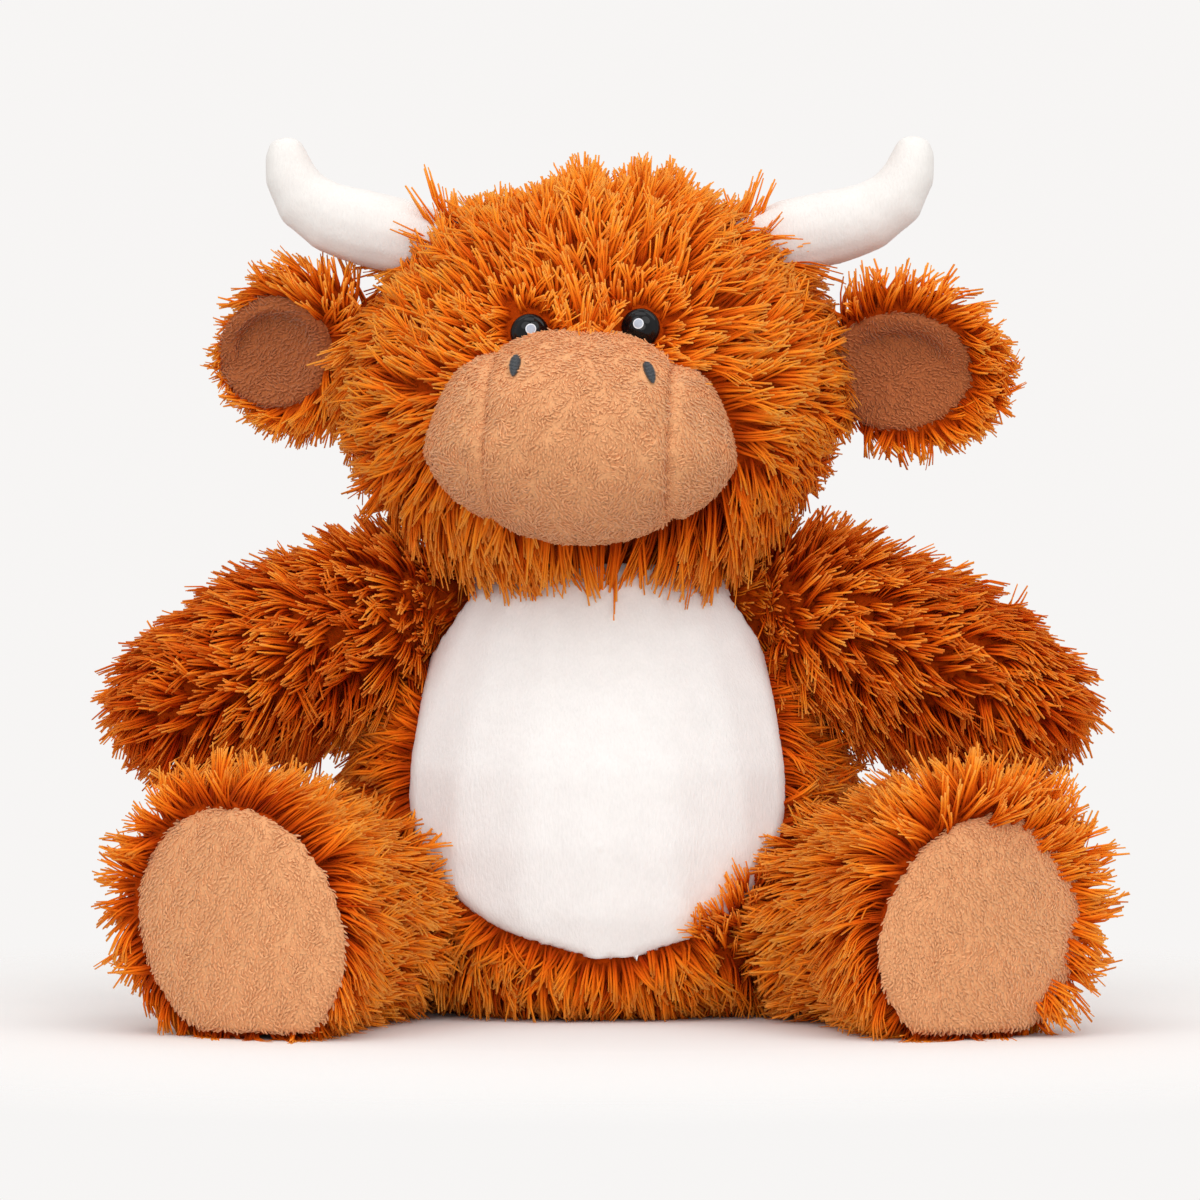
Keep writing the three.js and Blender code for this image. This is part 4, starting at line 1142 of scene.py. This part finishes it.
class SewEars(bpy.types.Operator):
    """Sew the ears: furry backs, cupped forwards, with tan linings"""

    bl_idname = "plush_cow.sew_ears"
    bl_label = "Sew Ears"

    def execute(self, context):
        # The lining colour is the tan fabric with painted shade.
        tan = finish_named("lining_ground", minky_ground_finish, "lining")
        for i, (name, side) in enumerate(SIDES):
            body = f"{name}_ear_body"
            low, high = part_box(f"{name}_ear")
            root = JOINTS[f"{name}_ear_flap"]
            shape = remeshed(copied(f"{name}_ear", f"{name}_ear_lining"), 1.6 * MM)
            relaxed(shape, 8)
            swollen(shape, 0.2 * MM)
            stretch = EAR_STRETCHES[name]
            for vert in shape.verts:
                vert.co.x = root.x + (vert.co.x - root.x) * stretch
            ear = sewn(f"{name}_ear_cloth", shape, fur_ground())
            soft(ear, body, "orange_fur", 0.5, f"{name}_ear")
            reach = self.lining_reach(name)
            lining = raised(f"{name}_ear_lining_plush", ear, reach, 1.8 * MM, 3 * MM, tan)
            soft(lining, body, "tan_minky", 0.4, f"{name}_ear_lining")
            half = Vector((high.x - low.x, 0, high.z - low.z)) / 2
            middle = middle_of(f"{name}_ear")
            for piece in (ear, lining):
                depths = reach(np.array([vert.co for vert in piece.data.vertices]))
                for vert, depth in zip(piece.data.vertices, depths):
                    out = side * (vert.co.x - middle.x) / half.x
                    rise = (vert.co.z - middle.z) / half.z
                    rooted = held(abs(vert.co.x - root.x) / (14 * MM))
                    cup = 6 * max(0, out) ** 2 + (8 if rise > 0 else 6) * rise * rise - 3
                    step = held((6.5 * MM - depth) / (2.6 * MM))
                    rim = step * step * (3 - 2 * step) * held(rise * 1.6 + 0.35 * out)
                    vert.co.y -= rooted * (cup + 7.5 * rim) * MM
                piece.data.update()
            centre = np.array(middle)

            def rule(spots, normals):
                kept = ((normals[:, 1] > 0.2) | (reach(spots) < 0.4 * MM)) & (far(spots, root) > 6.5 * MM)
                away = spots - centre
                away[:, 1] *= 0.3
                rear = np.clip(normals[:, 1] * 2, 0, 1)[:, None]
                combs = unit(away) * (1 - 0.6 * rear) + np.array([side * 0.35, 0, -0.15])
                combs = combs + np.array([side * 0.5, 0, -0.35]) * rear
                combs = swirled(combs, normals, 0.35 * swirl(spots, 51 + i))
                outer = np.clip(side * (spots[:, 0] - centre[0]) / half.x, 0, 1)
                lower = np.clip((centre[2] - spots[:, 2]) / half.z, 0, 1)
                upper = np.clip((spots[:, 2] - centre[2]) / half.z, 0, 1)
                fringe, hem = EAR_FRINGES[name]
                shares = 1 - (1 - fringe) * outer**1.5 - (1 - hem) * lower**1.5 * (1 - outer) - 0.15 * upper
                return kept, combs, np.clip(shares, 0.3, 1), leaning(len(spots), 48, 80)

            def at_lining(spots):
                return reach(spots) > -4 * MM

            furred(f"{name}_ear_fur", ear, body, rule, 500 + 20 * i, 1, at_lining)

            def lining_rule(spots, normals):
                kept = (normals[:, 1] < 0.3) & (reach(spots) > -0.6 * MM)
                combs = np.tile([side * 0.8, 0, -0.6], (len(spots), 1))
                combs[:, 2] += 0.8 * swirl(spots, 55 + i, 0.011)
                return kept, combs, np.ones(len(spots)), leaning(len(spots), 46, 80)

            # The lining's pile also carries the painted shade of the lining colour.
            minkied(f"{name}_ear_lining_pile", lining, body, lining_rule, 540 + i, "lining")
        return {"FINISHED"}

    def lining_reach(self, name):
        """How far points lie within the lining's outline, seen from the front: less than 0 outside."""
        centre, half = (np.array(pair) * MM for pair in EAR_LININGS[name])

        def reach(points):
            offset = points[:, (0, 2)] - centre
            return (1 - np.linalg.norm(offset / half, axis=1)) * half.min()

        return reach


class SewArms(bpy.types.Operator):
    """Sew the arms, with fur combed towards the hands"""

    bl_idname = "plush_cow.sew_arms"
    bl_label = "Sew Arms"

    def execute(self, context):
        trunk = hull("torso_skin")
        for i, (name, side) in enumerate(SIDES):
            body = f"{name}_arm_body"
            nodes = (f"{name}_arm", f"{name}_arm_stuffing")
            arm = plump(f"{name}_arm_cloth", nodes, 2 * MM, 10, 0.2 * MM, fur_ground())
            soft(arm, body, "orange_fur", 0.8, f"{name}_arm")
            low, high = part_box(f"{name}_arm")
            tip = high.x if side > 0 else low.x
            hand = np.array((tip - side * 22 * MM, low.y + 20 * MM, low.z + 22 * MM))
            for vert in arm.data.vertices:
                root = held((60 * MM - side * vert.co.x) / (10 * MM))
                vert.co.y += ARM_BACK * root * held(-vert.co.y / (15 * MM))
            arm.data.update()
            shape = bmesh_of(arm)
            swollen(shape, -2 * MM)
            filling = sewn(f"{name}_arm_filling", shape, loose_fibre())
            soft(filling, body, "fibre_filling", 0.8, f"{name}_arm_stuffing")

            def rule(spots, normals):
                out = side * spots[:, 0]
                kept = ~trunk(spots, 3 * MM)
                combs = np.tile([side * 1.0, -0.2, -0.35], (len(spots), 1))
                past = grown(side * (spots[:, 0] - hand[0]), 0, 14)[:, None]
                combs = combs * (1 - past * 0.7) + unit(spots - hand) * past
                under = np.clip(-normals[:, 2] * 1.5, 0, 1)
                combs[:, 2] -= 0.9 * under
                turns = 0.45 * swirl(spots, 61 + i) + 0.35 * swirl(spots, 63 + i, 0.015)
                combs = swirled(combs, normals, turns)
                above = np.clip(normals[:, 2], 0, 1)
                rooted = grown(out, 88, -14) * above
                shares = np.clip(0.45 + (out - 44 * MM) / (30 * MM), 0.4, 1)
                shares = (0.92 + 0.25 * under) * np.maximum(shares, np.clip(rooted * 2, 0, 1) * 1.05)
                shares = shares * (1 - 0.4 * under * past[:, 0]) * (1 - 0.1 * above * (1 - rooted))
                above = above * (1 - 2.2 * rooted)
                corner = grown(out, 56, -3) * (spots[:, 1] < -6 * MM)
                shares = shares * (1 - corner) + 0.5 * corner
                combs = blended(combs, np.array([side, 0.2, -0.5]), corner)
                leans = blended(leaning(len(spots), 27, 66), leaning(len(spots), 66, 84), corner)
                leans[:, 0] += np.radians(12) * above - np.radians(6) * under
                leans[:, 1] += np.radians(12) * above - np.radians(14) * under
                return kept, combs, shares, leans

            # A tone of 2.2: the arms' locks are darker and redder as painted shade.
            furred(f"{name}_arm_fur", arm, body, rule, 600 + 20 * i, 2.2)
        return {"FINISHED"}


class SewLegs(bpy.types.Operator):
    """Sew the legs, with fur combed back from the soles, and the tan soles"""

    bl_idname = "plush_cow.sew_legs"
    bl_label = "Sew Legs"

    def execute(self, context):
        tan = finish_named("minky_ground", minky_ground_finish, "minky")
        trunk = hull("torso_skin")
        for i, (name, side) in enumerate(SIDES):
            body = f"{name}_leg_body"
            nodes = tuple(f"{name}_{part}" for part in ("leg", "leg_stuffing", "foot_pellet_bag"))
            leg = plump(f"{name}_leg_cloth", nodes, 2 * MM, 8, 0.2 * MM, fur_ground())
            soft(leg, body, "orange_fur", 0.8, f"{name}_leg")
            shape = remeshed(copied(f"{name}_sole"), 1.3 * MM)
            relaxed(shape, 14)
            swollen(shape, 0.6 * MM)
            top = max(vert.co.z for vert in shape.verts)
            for vert in shape.verts:
                vert.co.z = top - (top - max(vert.co.z, 0)) * (1 - SOLE_LIFT / top)
                if side < 0:
                    x, y, z = SOLE_SHIFT
                    vert.co += Vector((x, y, z * vert.co.z / top)) * MM
            sole = sewn(f"{name}_sole_plush", shape, tan)
            soft(sole, body, "tan_minky", 0.8, f"{name}_sole")
            middle = np.array(middle_of(f"{name}_sole"))
            hip = np.array(JOINTS[f"{name}_hip"])
            facing = np.array((side * math.sin(SOLE_TURN), -math.cos(SOLE_TURN), 0))
            edge = searched(sole)
            disc = hulled(bmesh_of(sole))

            def gaps(spots):
                return np.array([edge.find_nearest(spot)[3] for spot in spots])

            def rule(spots, normals):
                from_sole = gaps(spots)
                kept = ~trunk(spots, 3 * MM) & (from_sole > 0.25 * MM) & off_floor(spots, normals)
                for ahead in SOLE_AHEAD:
                    kept &= ~((normals @ facing > 0.2) & disc(spots + facing * ahead * MM, 0.2 * MM))
                offset = spots - middle
                radial = offset - (offset @ facing)[:, None] * facing
                back = unit(np.tile(hip - middle, (len(spots), 1)))
                near = faded(from_sole, 30)[:, None]
                combs = back * (0.9 - 0.6 * near) + unit(radial) * 1.1 * near + np.array([0, 0, -0.3])
                combs = combs + np.array([0, -0.8, 0]) * faded(spots[:, 2], 14)[:, None]
                turns = 0.6 * swirl(spots, 71 + i) + 0.6 * swirl(spots, 73 + i, 0.015)
                combs = swirled(combs, normals, turns)
                leans = leaning(len(spots), 22, 66)
                leans[:, 1] -= 0.3 * grown(spots[:, 2], 45, 15)
                inner = grown(side * (hip[0] - spots[:, 0]), 0, 8)
                rear = faded(far(spots, hip), 40) * (normals[:, 2] > 0)
                outer = grown(side * (spots[:, 0] - middle[0]), 0, 25)
                shares = (1 - 0.3 * inner) * (1 + 0.35 * rear) * (1 - (0.22 if side < 0 else 0.05) * outer)
                return kept, combs, shares, leans

            def at_rim(spots):
                return gaps(spots) < 4 * MM

            # A tone of 0.85: the legs' locks are lighter as painted light.
            furred(f"{name}_leg_fur", leg, body, rule, 700 + 20 * i, 0.85, at_rim)

            def sole_rule(spots, normals):
                kept = normals @ facing > -0.2
                combs = np.tile([0.0, 0.0, -1.0], (len(spots), 1))
                combs[:, 0] += (spots - middle)[:, 0] * 10
                combs[:, 0] += 0.9 * swirl(spots, 75 + i, 0.011)
                return kept, combs, np.ones(len(spots)), leaning(len(spots), 46, 80)

            minkied(f"{name}_sole_pile", sole, body, sole_rule, 740 + i)
        return {"FINISHED"}


class SewTail(bpy.types.Operator):
    """Sew the tail and its tuft"""

    bl_idname = "plush_cow.sew_tail"
    bl_label = "Sew Tail"

    def execute(self, context):
        tail = plump("tail_cloth", ("tail",), 1 * MM, 6, 0.2 * MM, fur_ground())
        soft(tail, "tail_body", "orange_fur", 0.7, "tail")
        tuft = plump("tail_tuft_cloth", ("tail_tuft",), 1.2 * MM, 6, 0.2 * MM, fur_ground())
        soft(tuft, "tail_body", "orange_fur", 0.7, "tail_tuft")
        root = JOINTS["tail_swing"]

        def rule(spots, normals):
            kept = far(spots, root) > 8 * MM
            combs = np.tile([0, 0, -1.0], (len(spots), 1)) + unit(spots - np.array(root)) * 0.2
            return kept, combs, np.full(len(spots), 0.5), leaning(len(spots), 35, 82)

        furred("tail_fur", tail, "tail_body", rule, 800)
        furred("tail_tuft_fur", tuft, "tail_body", rule, 820)
        return {"FINISHED"}


class FillCow(bpy.types.Operator):
    """Dress the fillings and pellet bags inside"""

    bl_idname = "plush_cow.fill_cow"
    bl_label = "Fill Cow"

    def execute(self, context):
        bags = finish_named("pellet_bag_cloth", pellet_finish)
        for ending, material in (("_stuffing", loose_fibre()), ("_pellet_bag", bags)):
            for node, solid in frame["nodes"].items():
                if node.endswith(ending):
                    solid.data.materials.clear()
                    solid.data.materials.append(material)
        return {"FINISHED"}


class SetStudio(bpy.types.Operator):
    """Set up the floor, the backdrop, the lamps and the camera"""

    bl_idname = "plush_cow.set_studio"
    bl_label = "Set Studio"

    def execute(self, context):
        scene = context.scene
        studio = scene.plush_cow.studio
        scene.view_settings.view_transform = "Standard"
        lens = bpy.data.cameras.new("camera")
        camera = bpy.data.objects.new("camera", lens)
        scene.collection.objects.link(camera)
        camera.location = (0, -studio.camera_distance, studio.camera_height)
        camera.rotation_euler = (math.pi / 2, 0, 0)
        lens.lens = studio.lens
        lens.sensor_width = 36
        lens.clip_start, lens.clip_end = 0.05, 50
        scene.camera = camera
        self.lay_floor(scene, studio)
        self.light(scene, studio)
        return {"FINISHED"}

    def lay_floor(self, scene, studio):
        """A round sheet of pale paper that fades into the backdrop."""
        shape = bmesh.new()
        bmesh.ops.create_circle(shape, cap_ends=True, segments=96, radius=3)
        mesh = bpy.data.meshes.new("floor")
        shape.to_mesh(mesh)
        shape.free()
        finish = Finish("floor_paper", Roughness=0.9, Specular_IOR_Level=0.0)
        grain = finish.noise(300, 2)
        colour = shaded(studio.backdrop, 0.97)
        finish.set(Base_Color=finish.ramp(grain, [(0.3, shaded(colour, 0.995)), (0.7, colour)]))
        away = finish.node("ShaderNodeVectorMath", {"operation": "LENGTH"}, {0: finish.place()}, outlet=1)
        fade = finish.ramp(away, [(0.16, (0, 0, 0)), (0.36, (1, 1, 1))])
        clear = finish.node("ShaderNodeBsdfTransparent")
        paper = Reading(finish, finish.surface.outputs[0])
        mixed = finish.node("ShaderNodeMixShader", {}, {0: fade, 1: paper, 2: clear})
        finish.tree.links.new(mixed.socket, finish.outlet.inputs["Surface"])
        put("floor", mesh, finish.material)

    def light(self, scene, studio):
        """A white room, which the camera sees as the backdrop, and four lamps aimed at the cow."""
        world = bpy.data.worlds.new("studio")
        scene.world = world
        world.use_nodes = True
        tree = world.node_tree
        tree.nodes.clear()
        choice = tree.nodes.new("ShaderNodeMixShader")
        path = tree.nodes.new("ShaderNodeLightPath")
        tree.links.new(path.outputs["Is Camera Ray"], choice.inputs[0])
        for socket, colour, strength in ((1, (1, 0.985, 0.97), 0.7), (2, studio.backdrop, 1)):
            paper = tree.nodes.new("ShaderNodeBackground")
            paper.inputs["Color"].default_value = (*colour, 1)
            paper.inputs["Strength"].default_value = strength
            tree.links.new(paper.outputs[0], choice.inputs[socket])
        outlet = tree.nodes.new("ShaderNodeOutputWorld")
        tree.links.new(choice.outputs[0], outlet.inputs["Surface"])
        lamps = (
            ("key", (-0.9, -1.3, 1.7), 1.8, 10.8),
            ("fill", (0.9, -1.3, 1.7), 1.8, 11.8),
            ("front", (0.1, -2.3, 0.5), 1.6, 12),
            ("top", (0.0, 0.3, 1.7), 1.4, 4),
        )
        for name, place, size, power in lamps:
            data = bpy.data.lights.new(name, "AREA")
            data.shape = "DISK"
            data.size = size
            data.energy = power
            lamp = bpy.data.objects.new(name, data)
            scene.collection.objects.link(lamp)
            lamp.location = place
            aim = Vector((0, 0, 0.12)) - Vector(place)
            lamp.rotation_euler = aim.to_track_quat("-Z", "Y").to_euler()


OPERATORS = (
    SewTrunk, SewHead, SewMuzzle, SetEyes, SewHorns, SewEars, SewArms, SewLegs, SewTail, FillCow, SetStudio,
)


class PlushCowPanel(bpy.types.Panel):
    """The steps of the cow, in order"""

    bl_idname = "VIEW3D_PT_plush_cow"
    bl_label = "Plush Cow"
    bl_space_type = "VIEW_3D"
    bl_region_type = "UI"
    bl_category = "Plush Cow"

    def draw(self, context):
        settings = context.scene.plush_cow
        for group in (settings.pile, settings.colours, settings.studio):
            box = self.layout.box()
            for name in group.__annotations__:
                box.prop(group, name)
        for operator in OPERATORS:
            self.layout.operator(operator.bl_idname)


CLASSES = (PileSettings, ColourSettings, StudioSettings, PlushCowSettings, *OPERATORS, PlushCowPanel)


def register():
    for made in CLASSES:
        bpy.utils.register_class(made)
    bpy.types.Scene.plush_cow = bpy.props.PointerProperty(type=PlushCowSettings)


def unregister():
    del bpy.types.Scene.plush_cow
    for made in reversed(CLASSES):
        bpy.utils.unregister_class(made)


def main():
    register()
    for operator in OPERATORS:
        family, name = operator.bl_idname.split(".")
        getattr(getattr(bpy.ops, family), name)()


if __name__ == "__main__":
    main()
